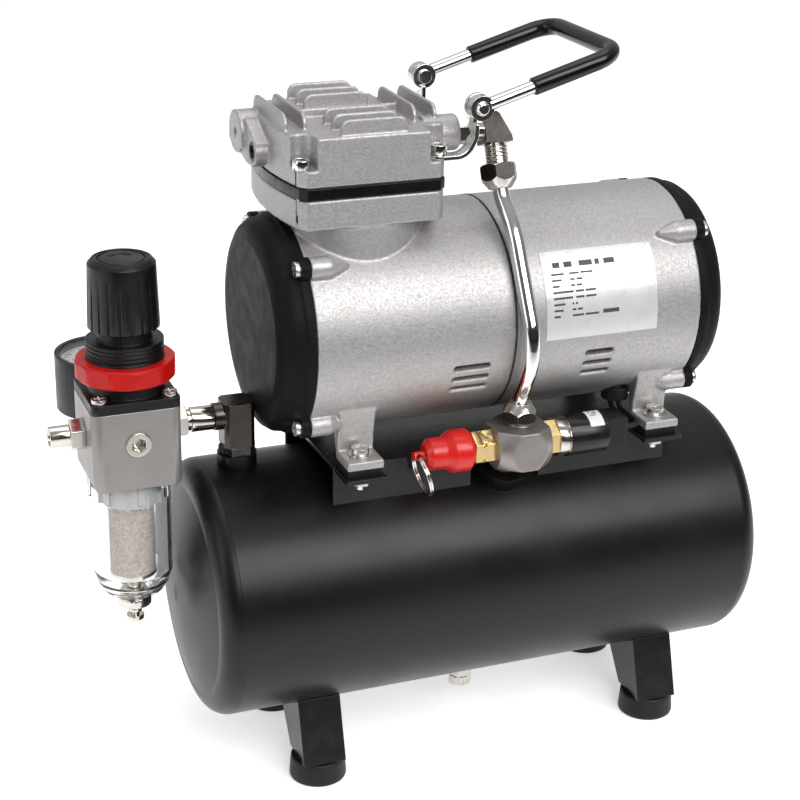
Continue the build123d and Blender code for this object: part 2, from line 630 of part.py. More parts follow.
def head_lug():
    """The tall lug on the left of the head, round above and slanted below."""
    y, z = 21.0, 297.0
    lug = rod((-106.5, y, z), X_DIR, 16, 9.4)
    outline = [(-92.0, z - 10.5), (-98.0, z - 12.5), (-106.5, z - 5.0), (-106.5, z), (-92.0, z)]
    face = make_face(Polyline(*[(px, y - 9.4, pz) for px, pz in outline], close=True))
    return lug + extrude(face, 18.8, dir=Y_DIR)


def build_head():
    head = flange_block(PLATE_TOP, HEAD_TOP)
    for fin in cooling_fins():
        head += fin
    # Left side: a lug and the threaded boss of the air inlet.
    head += head_lug() & block(-110, -90, -60, 60, PLATE_TOP, 340)
    head += rod((PORT_X, PORT_Y, PORT_Z), X_DIR, 14, 6.0)
    wall = [(PORT_Y - 6.0, 290.0), (PORT_Y - 5.0, 297.0), (12.0, 304.0), (27.0, 304.0), (30.2, 297.0),
            (26.0, 289.0), (PORT_Y + 9.0, PLATE_TOP + 1.0), (PORT_Y, PLATE_TOP + 1.0)]
    head += polygon_yz(wall, PORT_X, PORT_X + 14)
    # Right side: the outlet boss.
    head += rod((-34, OUTLET_Y, OUTLET_Z), X_DIR, 16, 8.0)
    # Corner recesses for the bolts.
    for dx, dy in corners(HEAD_BOLT_X, HEAD_BOLT_Y):
        x = HEAD_X + dx
        y = HEAD_Y + dy
        side_x = math.copysign(1, dx)
        side_y = math.copysign(1, dy)
        head -= rod((x, y, BOLT_SEAT), Z_DIR, 40, 5.6)
        near_x = x - side_x * 5.6
        xs = sorted((near_x, x + side_x * 20))
        ys = sorted((y, y + side_y * 12))
        head -= block(*xs, *ys, BOLT_SEAT, 340)
        if dx > 0:
            # Room for the handle strap beside the bolt.
            ys = sorted((side_y * (STRAP_Y - STRAP_W / 2 - 0.3), side_y * 60))
            head -= block(x, x + 20, *ys, BOLT_SEAT, BOLT_SEAT + 8)
    for cut in bolt_holes(2.3):
        head -= cut
    for side, front in ((-1, -15), (1, -22)):
        x = CYL_X + side * CHAMBER_X
        head -= block(x - 8, x + 8, front, 15, PLATE_TOP - 1, HEAD_TOP - 4)
    # Drillings from the chambers to the two ports.
    head -= rod((PORT_X - 1, PORT_Y, PORT_Z), X_DIR, 28, 3.4)
    head -= rod((PORT_X - 1, PORT_Y, PORT_Z), X_DIR, 11.4, 4.4)
    head -= rod((-110, 21, 297), X_DIR, 10, 1.9)
    head -= rod((-50, OUTLET_Y, OUTLET_Z), X_DIR, 40, 3.4)
    save("cylinder_head", head)
    bolts = []
    for dx, dy in corners(HEAD_BOLT_X, HEAD_BOLT_Y):
        seat = BOLT_SEAT if dx < 0 else BOLT_SEAT + STRAP_T
        bolts.append(shank_screw((HEAD_X + dx, HEAD_Y + dy, seat), Z_DIR, 3.8, 4.2, 2.0, 20.0, "hex"))
    save("head_bolts", *bolts)


# ---- handle -----------------------------------------------------------------------------------
def build_handle():
    brackets = []
    bolt_x = HEAD_X + HEAD_BOLT_X
    for side in (-1, 1):
        y_bolt = HEAD_Y + side * HEAD_BOLT_Y
        pts = [(bolt_x, 0, BOLT_SEAT), (bolt_x + 12, 0, BOLT_SEAT), (HANDLE_X, 0, BOLT_SEAT + 9),
               (HANDLE_X, 0, HANDLE_Z)]
        line = FilletPolyline(*pts, radius=9)
        start = Plane(origin=line @ 0, x_dir=Y_DIR, z_dir=line % 0)
        strap = sweep(start * Pos(0, STRAP_T / 2) * Rectangle(STRAP_W, STRAP_T), path=line)
        strap = Pos(0, side * STRAP_Y, 0) * strap
        strap += rod((bolt_x, y_bolt, BOLT_SEAT), Z_DIR, STRAP_T, 4.8)
        strap -= rod((bolt_x, y_bolt, 280), Z_DIR, 20, 2.3)
        ear_y = (HANDLE_Y - EAR_GAP - 2.2, HANDLE_Y - EAR_GAP)
        clear = ring((HANDLE_X, side * ear_y[1], HANDLE_Z), (0, side, 0), 9.0, 7.4, 1.0)
        strap -= clear
        strap -= block(HANDLE_X - 6, HANDLE_X + 6, min(side * 20, side * ear_y[0]),
                       max(side * 20, side * ear_y[0]), HANDLE_Z - 4, HANDLE_Z + 8)
        strap += rod((HANDLE_X, side * ear_y[0], HANDLE_Z), (0, side, 0), 2.2, 5.6)
        strap -= rod((HANDLE_X, 0, HANDLE_Z), (0, side, 0), 50, 2.0)
        brackets.append(strap)
    rise = Vector(HANDLE_END_X - HANDLE_X, 0, HANDLE_END_Z - HANDLE_Z)
    unit = rise.normalized()
    pivot = Vector(HANDLE_X, 0, HANDLE_Z)
    front = Vector(0, -HANDLE_Y, 0)
    back = Vector(0, HANDLE_Y, 0)

    def bail_path(offset):
        near = pivot + unit * offset
        far = pivot + rise
        pts = [near + front, far + front, far + back, near + back]
        return FilletPolyline(*[tuple(p) for p in pts], radius=11)

    inner = bail_path(4.0)
    bar = sweep(Plane(origin=inner @ 0, z_dir=inner % 0) * Circle(BAIL_R), path=inner)
    pins = []
    for side in (-1, 1):
        y = side * (HANDLE_Y - 2.5)
        bar += rod((HANDLE_X, y, HANDLE_Z), (0, side, 0), 4.8, 5.4)
        bar -= rod((HANDLE_X, side * 20, HANDLE_Z), (0, side, 0), 30, 2.0 + FIT)
        inside = HANDLE_Y - EAR_GAP - 2.2
        pin = rod((HANDLE_X, side * inside, HANDLE_Z), (0, side, 0), HANDLE_Y + 2.6 - inside, 2.0)
        pin += tapered((HANDLE_X, side * (HANDLE_Y + 2.5), HANDLE_Z), (0, side, 0), 1.6, 3.3, 2.2)
        pin += rod((HANDLE_X, side * inside, HANDLE_Z), (0, -side, 0), 1.2, 3.2)
        pins.append(pin)
    save("handle_bail", bar)
    save("handle_brackets", *brackets, *pins)
    outer = bail_path(25.0)
    start = Plane(origin=outer @ 0, z_dir=outer % 0)
    grip = sweep(start * (Circle(GRIP_R) - Circle(BAIL_R)), path=outer)
    save("handle_grip", grip)


# ---- outlet pipe, manifold, safety valve, switch -------------------------------------------------
GROMMET = (62.5, -27.0, 172.0)
GLAND_X = 84.0
GLAND_Z = MOTOR_Z - 12


def leaning(shape):
    """Turn an upright outlet fitting about the outlet's axis to its lean."""
    axis = Axis((0, OUTLET_Y, OUTLET_Z), (1, 0, 0))
    return shape.rotate(axis, -LEAN)


def below_outlet(distance):
    """The point this far from the outlet's axis along the leaning pipe."""
    lean = math.radians(LEAN)
    return (ELBOW_X, OUTLET_Y - distance * math.sin(lean), OUTLET_Z - distance * math.cos(lean))


def build_outlet():
    y, z = OUTLET_Y, OUTLET_Z
    boss_end = -18.0
    bore = 1.8
    left = ELBOW_X - 6.2
    nipple = hexagon((boss_end, y, z), X_DIR, 6.5, 10.5) + rod((-34, y, z), X_DIR, left + 32.5, 3.4)
    nipple -= rod((-36, y, z), X_DIR, 40, bore)

    # The elbow's outer corner slopes from a narrow top to a wide foot.
    outline = [(left, z - 6.5), (ELBOW_X + 6.4, z - 6.5), (ELBOW_X + 6.2, z - 4.0), (ELBOW_X + 1.4, z + 6.0),
               (ELBOW_X, z + 7.0), (left + 1.0, z + 7.0), (left, z + 6.0)]
    face = make_face(Polyline(*[(px, y - 5.6, pz) for px, pz in outline], close=True))
    elbow = extrude(face, 11.2, dir=Y_DIR)
    elbow += rod((left - 4.5, y, z), X_DIR, 5, NIPPLE_R)
    elbow += rod((ELBOW_X, y, z - 19.0), Z_DIR, 14, NIPPLE_R)
    elbow -= rod((left - 5, y, z), X_DIR, 3.5, 3.4)
    elbow -= rod((left - 2, y, z), X_DIR, ELBOW_X - left + 2, bore)
    elbow -= rod((ELBOW_X, y, z - 20), Z_DIR, 20, bore)
    elbow -= rod((ELBOW_X, y, z - 20), Z_DIR, 9.0, PIPE_R)
    nut = pipe_nut((ELBOW_X, y, z - 26.5), Z_DIR, 11.0, 15.0, (5.0, 5.0), (7.4, 1.2))
    nut -= rod((ELBOW_X, y, z - 28), Z_DIR, 14, PIPE_R)
    nut -= rod((ELBOW_X, y, z - 19.0), Z_DIR, 5, NIPPLE_R)

    my = MANIFOLD_Y
    mz = MANIFOLD_Z + MANIFOLD_HALF_H
    points = [(PIPE_X, my, mz + 2.0), (PIPE_X, my, mz + 13.5), (PIPE_X, -57.8, 203.0),
              (PIPE_X, -57.8, 217.0), ((PIPE_X + ELBOW_X) / 2, -37.5, 258.0),
              below_outlet(30.2), below_outlet(12.0)]
    path = FilletPolyline(*points, radius=(16, 28, 27, 50, 20))
    start = Plane(origin=path @ 0, z_dir=path % 0)
    tube = sweep(start * (Circle(PIPE_R) - Circle(PIPE_R - 0.9)), path=path)
    save("discharge_tube", tube)
    lower = pipe_nut((PIPE_X, my, mz + 2.2), Z_DIR, 8.6, 15.0, (7.2, 1.2), (5.0, 4.6))
    lower -= rod((PIPE_X, my, mz), Z_DIR, 12, PIPE_R)
    lower -= rod((PIPE_X, my, mz), Z_DIR, 6.5, 5.4)
    save("outlet_fittings", nipple, leaning(elbow), leaning(nut), lower)


def build_manifold():
    x, y, z = PIPE_X, MANIFOLD_Y, MANIFOLD_Z
    h = MANIFOLD_HALF
    bore = 2.2
    r = MANIFOLD_RIGHT
    body = block(x - h, x + r, y - h, y + h, z - MANIFOLD_HALF_H, z + MANIFOLD_HALF_H)
    # Both ends are turned down to a cone about the long axis.
    waist = tapered((x, y, z), X_DIR, h, 18.5, 10.6) + tapered((x, y, z), (-1, 0, 0), h, 18.5, 10.6)
    body &= waist
    body += rod((x, y, z + MANIFOLD_HALF_H - 1), Z_DIR, 7.5, 5.4)
    body -= rod((x, y, z), Z_DIR, 40, bore)
    body -= rod((x, y, z + MANIFOLD_HALF_H + 1.5), Z_DIR, 10, PIPE_R)
    body -= rod((x - 30, y, z), X_DIR, 60, bore)
    body -= rod((x - h - 1, y, z), X_DIR, 9, 4.8)
    body -= rod((x + r - 8, y, z), X_DIR, 9, 4.8)

    # A straight neck leads along the leaning tank boss into the block.
    reach = (z - TANK_Z) / math.cos(math.radians(BOSS_ANGLE))
    body -= rod(TANK_CENTRE + BOSS_DIR * (reach - 15), BOSS_DIR, 15, bore)
    body -= rod((x, y, z), Y_DIR, 8.0, bore)
    neck = ring(TANK_CENTRE + BOSS_DIR * (TANK_R - 1.0), BOSS_DIR, 20.0, PORT_BORE, bore)
    collar = ring(TANK_CENTRE + BOSS_DIR * (TANK_R + BOSS_H), BOSS_DIR, 3.0, 7.4, PORT_BORE)
    outside = block(x - h, x + r, y - h, y + h, z - MANIFOLD_HALF_H, z + MANIFOLD_HALF_H) & waist
    save("manifold", body, neck - outside, collar - outside)

    left = x - h
    valve_body = hexagon((left - 10, y, z), X_DIR, 10, 14.0) + rod((left, y, z), X_DIR, 7.0, 4.8)
    valve_body -= rod((left - 11, y, z), X_DIR, 20, 2.0 + FIT)
    for i in range(6):
        turn = Pos(left - 6, y, z) * Rot(60 * i, 0, 0)
        valve_body -= turn * rod((0, 0, 4), Z_DIR, 6, 1.0)
    cap_start = left - 10.3
    back = (-1, 0, 0)
    cap = tapered((cap_start, y, z), back, 2.0, 7.8, 9.6)
    cap += rod((cap_start - 2.0, y, z), back, 7.6, 9.6)
    cap += tapered((cap_start - 9.6, y, z), back, 3.6, 9.6, 7.2)
    cap += rod((cap_start - 13.2, y, z), back, 6.6, 7.2)
    cap += tapered((cap_start - 19.8, y, z), back, 2.4, 7.2, 4.8)
    cap -= rod((cap_start - 30, y, z), X_DIR, 40, 2.0)
    eye_x = cap_start - 25.0
    stem = rod((eye_x - 2.2, y, z), X_DIR, 34, 2.0) - rod((eye_x, y - 12, z), Y_DIR, 24, 1.35)
    save("safety_valve_cap", cap, stem)
    return valve_body, eye_x


def build_safety_ring(x):
    """The split pull ring, hanging from the eye of the safety valve's stem and leaning on the cap."""
    y, z = MANIFOLD_Y, MANIFOLD_Z
    radius = 9.6
    hoops = []
    for shift in (-0.55, 0.55):
        hoop = Pos(shift, 0, -radius) * Rot(0, 90, 0) * Torus(radius, 0.5)
        hoop = Pos(x, y, z) * Rot(0, -RING_LEAN, 0) * hoop
        hoops.append(hoop)
    save("safety_ring", *hoops)


def build_switch(valve_body):
    """The pressure switch on its adapter, its lead, and the two cable entries."""
    x = PIPE_X + MANIFOLD_RIGHT
    y, z = MANIFOLD_Y, MANIFOLD_Z
    adapter = hexagon((x, y, z), X_DIR, 5.5, 15.0) + rod((x - 7, y, z), X_DIR, 16.0, 4.8)
    adapter -= rod((x - 8, y, z), X_DIR, 20, 2.0)
    save("brass_adapters", valve_body, adapter)
    collar = ring((x + 5.5, y, z), X_DIR, 5.0, 8.6, 4.8)
    body = rod((x + 10.5, y, z), X_DIR, 19.0, 9.4)
    body += block(x + 29.5, x + 39.0, y - 7.0, y + 7.0, z - 7.0, z + 7.5)
    body -= rod((x + 38.0, y - 2.4, z + 1.5), X_DIR, 2.0, 1.3)
    body -= rod((x + 38.0, y + 2.4, z + 1.5), X_DIR, 2.0, 1.3)
    save("pressure_switch", body, collar)
    sticker = ring((x + 20.5, y, z), X_DIR, 7.0, 9.7, 9.4)
    sticker &= block(x + 10, x + 30, y - 7.4, y + 2.0, z + 4.0, z + 12)

    # Twin lead from the switch up into the grommet below the motor.
    gx, gy, gz = GROMMET
    housing = rod((0, 0, MOTOR_Z), X_DIR, MOTOR_HALF, MOTOR_R)
    grommet = rod((gx, gy, gz - 3.0), Z_DIR, 6.0, 6.4) - housing - cast_foot(MOUNT_XS[1], -1)
    grommet += rod((gx, gy, gz - 3.0), Z_DIR, 8.0, 4.0)
    leads = []
    for side in (-1, 1):
        wy = side * 2.4
        wx = gx - side * 1.6
        pts = [(x + 38.0, y + wy, z + 1.5), (wx, y + wy, z + 1.5), (wx, gy + wy * 0.5, z + 1.5),
               (wx, gy + wy * 0.5, gz + 6)]
        path = FilletPolyline(*pts, radius=4.8)
        start = Plane(origin=path @ 0, z_dir=path % 0)
        leads.append(sweep(start * Circle(1.3), path=path))
        grommet -= rod((wx, gy + wy * 0.5, gz - 8), Z_DIR, 30, 1.3)
    save("switch_lead", *leads)
    gland = rod((GLAND_X, 45, GLAND_Z), Y_DIR, 6.0, 7.0) - housing
    gland += rod((GLAND_X, 44, GLAND_Z), Y_DIR, 7.0, 5.0)
    gland += tapered((GLAND_X, 51, GLAND_Z), Y_DIR, 6.0, 4.6, 3.6)
    gland -= rod((GLAND_X, 40, GLAND_Z), Y_DIR, 25, 2.6)
    save("cable_grommets", grommet, gland)
    return sticker


# ---- filter regulator -----------------------------------------------------------------------------
def build_inlet_pipe():
    z = REG_PORT_Z
    x = INLET_X
    base = TANK_Z + TANK_R + 6.0
    elbow = block(x - 7, x + 7, -7, 7, base + 4, z + 7)
    elbow = chamfer(elbow.edges().filter_by(Axis.Z), 2.0)
    elbow += rod((x - 11, 0, z), X_DIR, 5, 6.2)
    elbow += hexagon((x, 0, base), Z_DIR, 4.0, 15.0)
    elbow += rod((x, 0, base - 9), Z_DIR, 9.5, PORT_BORE)
    elbow -= rod((x, 0, base - 10), Z_DIR, z - base + 10, 2.2)
    elbow -= rod((x - 12, 0, z), X_DIR, 12, 2.2)
    elbow -= rod((x - 12, 0, z), X_DIR, 8.0, 4.8)
    right = REG_X + REG_HALF
    pipe = rod((right - 7, 0, z), X_DIR, x - 5 - right + 7, 4.8)
    pipe += hexagon((right + 0.4, 0, z), X_DIR, 5.5, 13.0)
    pipe += rod((right + 8, 0, z), X_DIR, x - 11.5 - right - 8, 5.6)
    pipe -= rod((right - 8, 0, z), X_DIR, 60, 2.2)
    save("inlet_fittings", elbow, pipe)


def square_block(half, z0, z1, radius):
    """A square post on the regulator axis with rounded corners."""
    sketch = RectangleRounded(2 * half, 2 * half, radius)
    return Pos(REG_X, 0, z0) * extrude(sketch, z1 - z0)


def build_regulator(cover_screws):
    """The regulator above the filter; its bonnet screws share a node with the cover screws."""
    z = REG_PORT_Z
    body = square_block(REG_HALF, REG_BOTTOM, REG_TOP, 4.5)
    for side in (-1, 1):
        place = Pos(REG_X + side * (REG_HALF + 2.0), 0, REG_BOTTOM - 2.0)
        body -= place * Rot(0, side * 32, 0) * Box(8, 60, 22)
    body -= rod((REG_X, 0, REG_BOTTOM - 1), Z_DIR, 9.0, 15.0)
    body -= rod((REG_X, 0, REG_BOTTOM - 1), Z_DIR, 30.0, 5.0)
    body -= rod((REG_X, 0, REG_TOP - 8), Z_DIR, 9.0, 14.5)
    body -= rod((REG_X, 0, REG_TOP - 20), Z_DIR, 20.0, 2.0)
    for direction in ((1, 0, 0), (-1, 0, 0), (0, 1, 0), (0, -1, 0)):
        body -= rod((REG_X, 0, z), direction, 40, 2.2)
        start = Vector(REG_X, 0, z) + Vector(*direction) * (REG_HALF - 7.0)
        body -= rod(start, direction, 10, 4.8)
    for dx, dy in corners(15.4, 15.4):
        body -= rod((REG_X + dx, dy, REG_TOP - 8), Z_DIR, 10, 1.5)
    save("regulator_body", body)

    front = Vector(0, -1, 0)
    plug = rod((REG_X, -REG_HALF + 7.0, z), front, 7.0, 4.8) + rod((REG_X, -REG_HALF, z), front, 1.0, 5.6)
    plug -= hexagon((REG_X, -REG_HALF + 4.0, z), front, 6, 6.0)

    left = REG_X - REG_HALF
    outlet = hexagon((left - 6.5, 0, z), X_DIR, 6.5, 13.0) + rod((left - 15.2, 0, z), X_DIR, 22.0, 4.8)
    outlet -= rod((left - 16, 0, z), X_DIR, 24, 2.4)
    outlet -= tapered((left - 15.2, 0, z), X_DIR, 2.4, 3.9, 2.4)
    bush = ring((PORT_X, PORT_Y, PORT_Z), X_DIR, 10.4, 4.4, 3.0)
    save("port_fittings", plug, outlet, bush)

    plate = square_block(REG_HALF - 0.2, REG_TOP, REG_TOP + PLATE_H, 3.0)
    neck_top = 215.5
    bonnet = plate + rod((REG_X, 0, REG_TOP + PLATE_H), Z_DIR, neck_top - REG_TOP - PLATE_H, NECK_R)
    bonnet += rod((REG_X, 0, neck_top), Z_DIR, 23.0, 12.2)
    for i in range(4):
        groove = ring((REG_X, 0, RING_Z[1] + 1.0 + 1.9 * i), Z_DIR, 0.9, NECK_R + 1, NECK_R - 0.6)
        bonnet -= groove
    bonnet -= rod((REG_X, 0, REG_TOP - 1), Z_DIR, 46.0, 10.6)
    bonnet -= rod((REG_X, 0, REG_TOP - 1), Z_DIR, 60.0, 3.5 + FIT)
    for dx, dy in corners(15.4, 15.4):
        bonnet -= rod((REG_X + dx, dy, REG_TOP - 1), Z_DIR, 10, 1.9)
        bonnet -= rod((REG_X + dx, dy, REG_TOP + PLATE_H), Z_DIR, 3.0, 3.7)
    save("regulator_bonnet", bonnet)
    screws = [shank_screw((REG_X + dx, dy, REG_TOP + PLATE_H), Z_DIR, 3.4, 2.2, 1.5, 12.0, "cross")
              for dx, dy in corners(15.4, 15.4)]
    save("pan_head_screws", *cover_screws, *screws)

    nut = tapered((REG_X, 0, RING_Z[0]), Z_DIR, 1.4, RING_R - 1.2, RING_R)
    nut += rod((REG_X, 0, RING_Z[0] + 1.4), Z_DIR, RING_Z[1] - RING_Z[0] - 2.4, RING_R)
    nut += tapered((REG_X, 0, RING_Z[1] - 1.0), Z_DIR, 1.0, RING_R, RING_R - 1.0)
    # The rim has shallow flats to turn it by.
    nut &= Pos(REG_X, 0, 190) * extrude(RegularPolygon(RING_R - 0.5, 12, major_radius=False), 20)
    nut -= rod((REG_X, 0, 190), Z_DIR, 20, NECK_R)
    save("red_ring_nut", nut)

    bottom, top = KNOB_Z
    knob = tapered((REG_X, 0, bottom), Z_DIR, top - bottom - 2.0, KNOB_R, KNOB_R - 0.9)
    knob += tapered((REG_X, 0, top - 2.0), Z_DIR, 2.0, KNOB_R - 0.9, KNOB_R - 2.6)
    knob -= rod((REG_X, 0, bottom - 1), Z_DIR, top - bottom - 4.8, 13.0)
    knob -= ring((REG_X, 0, top - 0.8), Z_DIR, 2, 10.6, 9.6)
    for i in range(20):
        groove = block(KNOB_R - 0.75, KNOB_R + 2, -0.5, 0.5, bottom - 1, top - 5)
        knob -= Pos(REG_X, 0, 0) * Rot(0, 0, 18 * i) * groove
    knob -= rod((REG_X, 0, bottom), Z_DIR, top - bottom - 2.4, 3.5 + FIT)
    save("regulator_knob", knob)

    stem = rod((REG_X, 0, 213.0), Z_DIR, 34.0, 3.5) + rod((REG_X, 0, 226.5), Z_DIR, 3.0, 7.0)
    save("adjusting_screw", stem)
    follower = rod((REG_X, 0, 214.5), Z_DIR, 5.0, 10.0) - rod((REG_X, 0, 214), Z_DIR, 6, 3.5 + FIT)
    coil = Helix(pitch=4.2, height=20.5, radius=7.0, center=(REG_X, 0, 192.0))
    start = Plane(origin=coil @ 0, z_dir=coil % 0)
    save("regulator_spring", sweep(start * Circle(1.2), path=coil), follower)
    disc = rod((REG_X, 0, REG_TOP - 1.4), Z_DIR, 1.4, 14.5) + rod((REG_X, 0, REG_TOP), Z_DIR, 2.8, 9.5)
    poppet = rod((REG_X, 0, REG_TOP - 24), Z_DIR, 22.6, 1.8) + rod((REG_X, 0, REG_TOP - 26), Z_DIR, 3.5, 4.6)
    save("regulator_valve", disc, poppet)


def build_filter():
    z0 = BOWL_BOTTOM
    r = BOWL_R
    outer = [(3.0, z0), (9.0, z0 + 1.2), (13.6, z0 + 4.2), (16.2, z0 + 8.6), (r - 0.2, z0 + 14),
             (r, REG_BOTTOM), (15.0 - FIT, REG_BOTTOM), (15.0 - FIT, REG_BOTTOM + 7)]
    inner = [(13.0, REG_BOTTOM + 7), (13.0, REG_BOTTOM - 2), (r - BOWL_WALL, REG_BOTTOM - 5),
             (r - BOWL_WALL, z0 + 14), (14.2, z0 + 9.6), (11.8, z0 + 6), (8.4, z0 + 3.4), (6.0, z0 + 2.4),
             (3.0, z0 + 2.4)]
    bowl = revolve_z(outer + inner, REG_X, 0)
    for i in range(8):
        rib = block(r - 0.5, r + 0.9, -1.0, 1.0, REG_BOTTOM - 9, REG_BOTTOM)
        bowl += Pos(REG_X, 0, 0) * Rot(0, 0, 45 * i) * rib
    seal = ring((REG_X, 0, REG_BOTTOM + 7), Z_DIR, 1.0, 15.0, 13.2)
    save("filter_bowl", bowl, seal)

    baffle = ring((REG_X, 0, 139.0), Z_DIR, 12.5, 12.6, 10.8) + ring((REG_X, 0, 149.5), Z_DIR, 3.5, 12.6, 3.0)
    for i in range(10):
        vane = block(11.5, 14.4, -0.6, 0.6, 139.0, 146.5)
        baffle += Pos(REG_X, 0, 0) * Rot(0, 0, 36 * i) * vane
    save("filter_baffle", baffle)
    save("filter_element", ring((REG_X, 0, 104.5), Z_DIR, 38.0, 10.2, 6.6))
    post = rod((REG_X, 0, 99.3), Z_DIR, 59.2, 3.0)
    post += rod((REG_X, 0, REG_BOTTOM + 6.5), Z_DIR, 2.0, 4.6)
    cap = ring((REG_X, 0, 103.0), Z_DIR, 1.5, 10.4, 3.0) + (hexagon((REG_X, 0, 99.5), Z_DIR, 3.5, 11.0)
                                                            - rod((REG_X, 0, 99), Z_DIR, 5, 3.0))
    save("filter_post", post, cap)

    collar = rod((REG_X, 0, z0 - 4.5), Z_DIR, 4.5, 7.6) + rod((REG_X, 0, z0), Z_DIR, 2.4, 3.0)
    collar += rod((REG_X, 0, z0 + 2.4), Z_DIR, 1.4, 5.0)
    collar -= rod((REG_X, 0, z0 - 6), Z_DIR, 12, 1.8 + FIT)
    save("bowl_drain_seat", collar)
    stem = rod((REG_X, 0, DRAIN_TIP), Z_DIR, z0 - DRAIN_TIP + 5.2, 1.8)
    stem += ring((REG_X, 0, DRAIN_TIP + 1.0), Z_DIR, 2.2, 4.0, 1.0)
    stem += rod((REG_X, 0, DRAIN_TIP + 5.0), Z_DIR, 1.6, 3.2)
    stem += rod((REG_X, 0, z0 + 4.0), Z_DIR, 1.2, 3.4)
    save("bowl_drain_stem", stem)


def build_gauge():
    x, y = REG_X, GAUGE_Y
    z0, z1 = GAUGE_Z
    case = rod((x, y, z0), Z_DIR, z1 - z0, GAUGE_R) - rod((x, y, z0 + 4), Z_DIR, z1, GAUGE_R - 2.2)
    case -= rod((x, 18, REG_PORT_Z), Y_DIR, 14, 3.6)
    save("gauge_case", case)
    stem = rod((x, REG_HALF - 6.8, REG_PORT_Z), Y_DIR, 15.0, 3.6)
    stem += hexagon((x, REG_HALF, REG_PORT_Z), Y_DIR, 3.4, 9.0)
    stem += rod((x, REG_HALF - 6.8, REG_PORT_Z), Y_DIR, 6.8, 4.8)
    tube = Pos(x, y, z0 + 10) * Torus(12.0, 1.6)
    tube -= block(x, x + 20, y, y + 20, z0, z1)
    movement = block(x - 5, x + 5, y - 5, y + 5, z0 + 4, z1 - 6.5)
    save("gauge_stem", stem, tube, movement)
    dial = rod((x, y, z1 - 5.4), Z_DIR, 0.8, GAUGE_R - 2.2) - rod((x, y, z1 - 6), Z_DIR, 2, 1.0)
    save("gauge_dial", dial)
    needle = block(-1.0, 1.0, -5.0, 12.5, z1 - 3.9, z1 - 3.4) + rod((0, 0, z1 - 6.4), Z_DIR, 3.4, 0.9)
    needle += rod((0, 0, z1 - 4.0), Z_DIR, 0.9, 2.2)
    save("gauge_needle", Pos(x, y, 0) * Rot(0, 0, 135) * needle)
    save("gauge_lens", rod((x, y, z1 - 1.8), Z_DIR, 1.2, GAUGE_R - 2.2))


def build_labels(sticker):
    """The blank rating plate on the motor and the sticker on the switch."""
    patch = ring((14.5, 0, MOTOR_Z), X_DIR, 55.0, MOTOR_R + 0.25, MOTOR_R)
    low = math.sin(math.radians(-5.0)) * MOTOR_R
    high = math.sin(math.radians(42.0)) * MOTOR_R
    patch &= block(0, 80, -60, -30, MOTOR_Z + low, MOTOR_Z + high)
    save("labels", patch, sticker)


os.makedirs("parts", exist_ok=True)
build_tank()
build_mounts(build_feet())
build_castings()
end_screws = build_covers()
build_motor_inside()
build_piston()
build_valves()
build_head()
build_handle()
build_outlet()
safety_body, eye = build_manifold()
build_safety_ring(eye)
switch_sticker = build_switch(safety_body)
build_inlet_pipe()
build_regulator(end_screws)
build_filter()
build_gauge()
build_labels(switch_sticker)
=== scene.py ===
"""Looks of the airbrush compressor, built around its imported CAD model. Metres, CAD frame."""
import json
import math

import bmesh
import bpy
from mathutils import Matrix, Vector


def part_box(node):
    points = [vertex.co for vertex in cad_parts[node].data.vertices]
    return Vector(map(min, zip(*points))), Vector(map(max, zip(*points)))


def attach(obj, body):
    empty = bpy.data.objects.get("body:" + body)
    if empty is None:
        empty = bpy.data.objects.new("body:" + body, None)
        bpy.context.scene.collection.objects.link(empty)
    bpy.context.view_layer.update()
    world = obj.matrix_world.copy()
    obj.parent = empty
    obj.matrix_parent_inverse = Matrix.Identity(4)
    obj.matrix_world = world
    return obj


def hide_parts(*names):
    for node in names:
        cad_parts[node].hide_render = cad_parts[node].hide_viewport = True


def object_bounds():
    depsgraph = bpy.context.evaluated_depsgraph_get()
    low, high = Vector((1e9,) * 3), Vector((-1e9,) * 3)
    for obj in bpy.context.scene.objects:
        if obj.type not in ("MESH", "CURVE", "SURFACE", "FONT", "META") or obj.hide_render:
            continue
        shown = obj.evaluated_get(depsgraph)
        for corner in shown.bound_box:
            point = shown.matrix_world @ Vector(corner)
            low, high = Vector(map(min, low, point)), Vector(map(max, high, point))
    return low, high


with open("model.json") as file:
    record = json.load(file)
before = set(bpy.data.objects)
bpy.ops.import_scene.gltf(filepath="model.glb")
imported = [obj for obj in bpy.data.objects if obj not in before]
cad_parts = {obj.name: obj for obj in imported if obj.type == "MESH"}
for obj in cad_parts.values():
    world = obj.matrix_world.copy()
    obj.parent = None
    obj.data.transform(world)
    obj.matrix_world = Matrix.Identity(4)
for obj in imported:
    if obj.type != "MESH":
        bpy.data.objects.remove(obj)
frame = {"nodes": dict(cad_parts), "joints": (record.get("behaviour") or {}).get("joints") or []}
cad_low, cad_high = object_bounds()
NODES = frame["nodes"]
JOINTS = {joint["name"]: joint for joint in frame["joints"]}
MM = 0.001


# ---- places read from the frame ---------------------------------------------------------------
def middle(node):
    """Middle of a CAD node's box."""
    low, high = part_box(node)
    return (low + high) / 2


def solids_of(node):
    """Boxes of the separate solids of a CAD node, as (lowest corner, highest corner)."""
    bm = bmesh.new()
    bm.from_mesh(NODES[node].data)
    bmesh.ops.remove_doubles(bm, verts=bm.verts, dist=1e-6)
    left = set(bm.verts)
    boxes = []
    while left:
        island = []
        front = [left.pop()]
        while front:
            vert = front.pop()
            island.append(vert.co.copy())
            for edge in vert.link_edges:
                other = edge.other_vert(vert)
                if other in left:
                    left.remove(other)
                    front.append(other)
        low = Vector([min(p[i] for p in island) for i in range(3)])
        high = Vector([max(p[i] for p in island) for i in range(3)])
        boxes.append((low, high))
    bm.free()
    return boxes


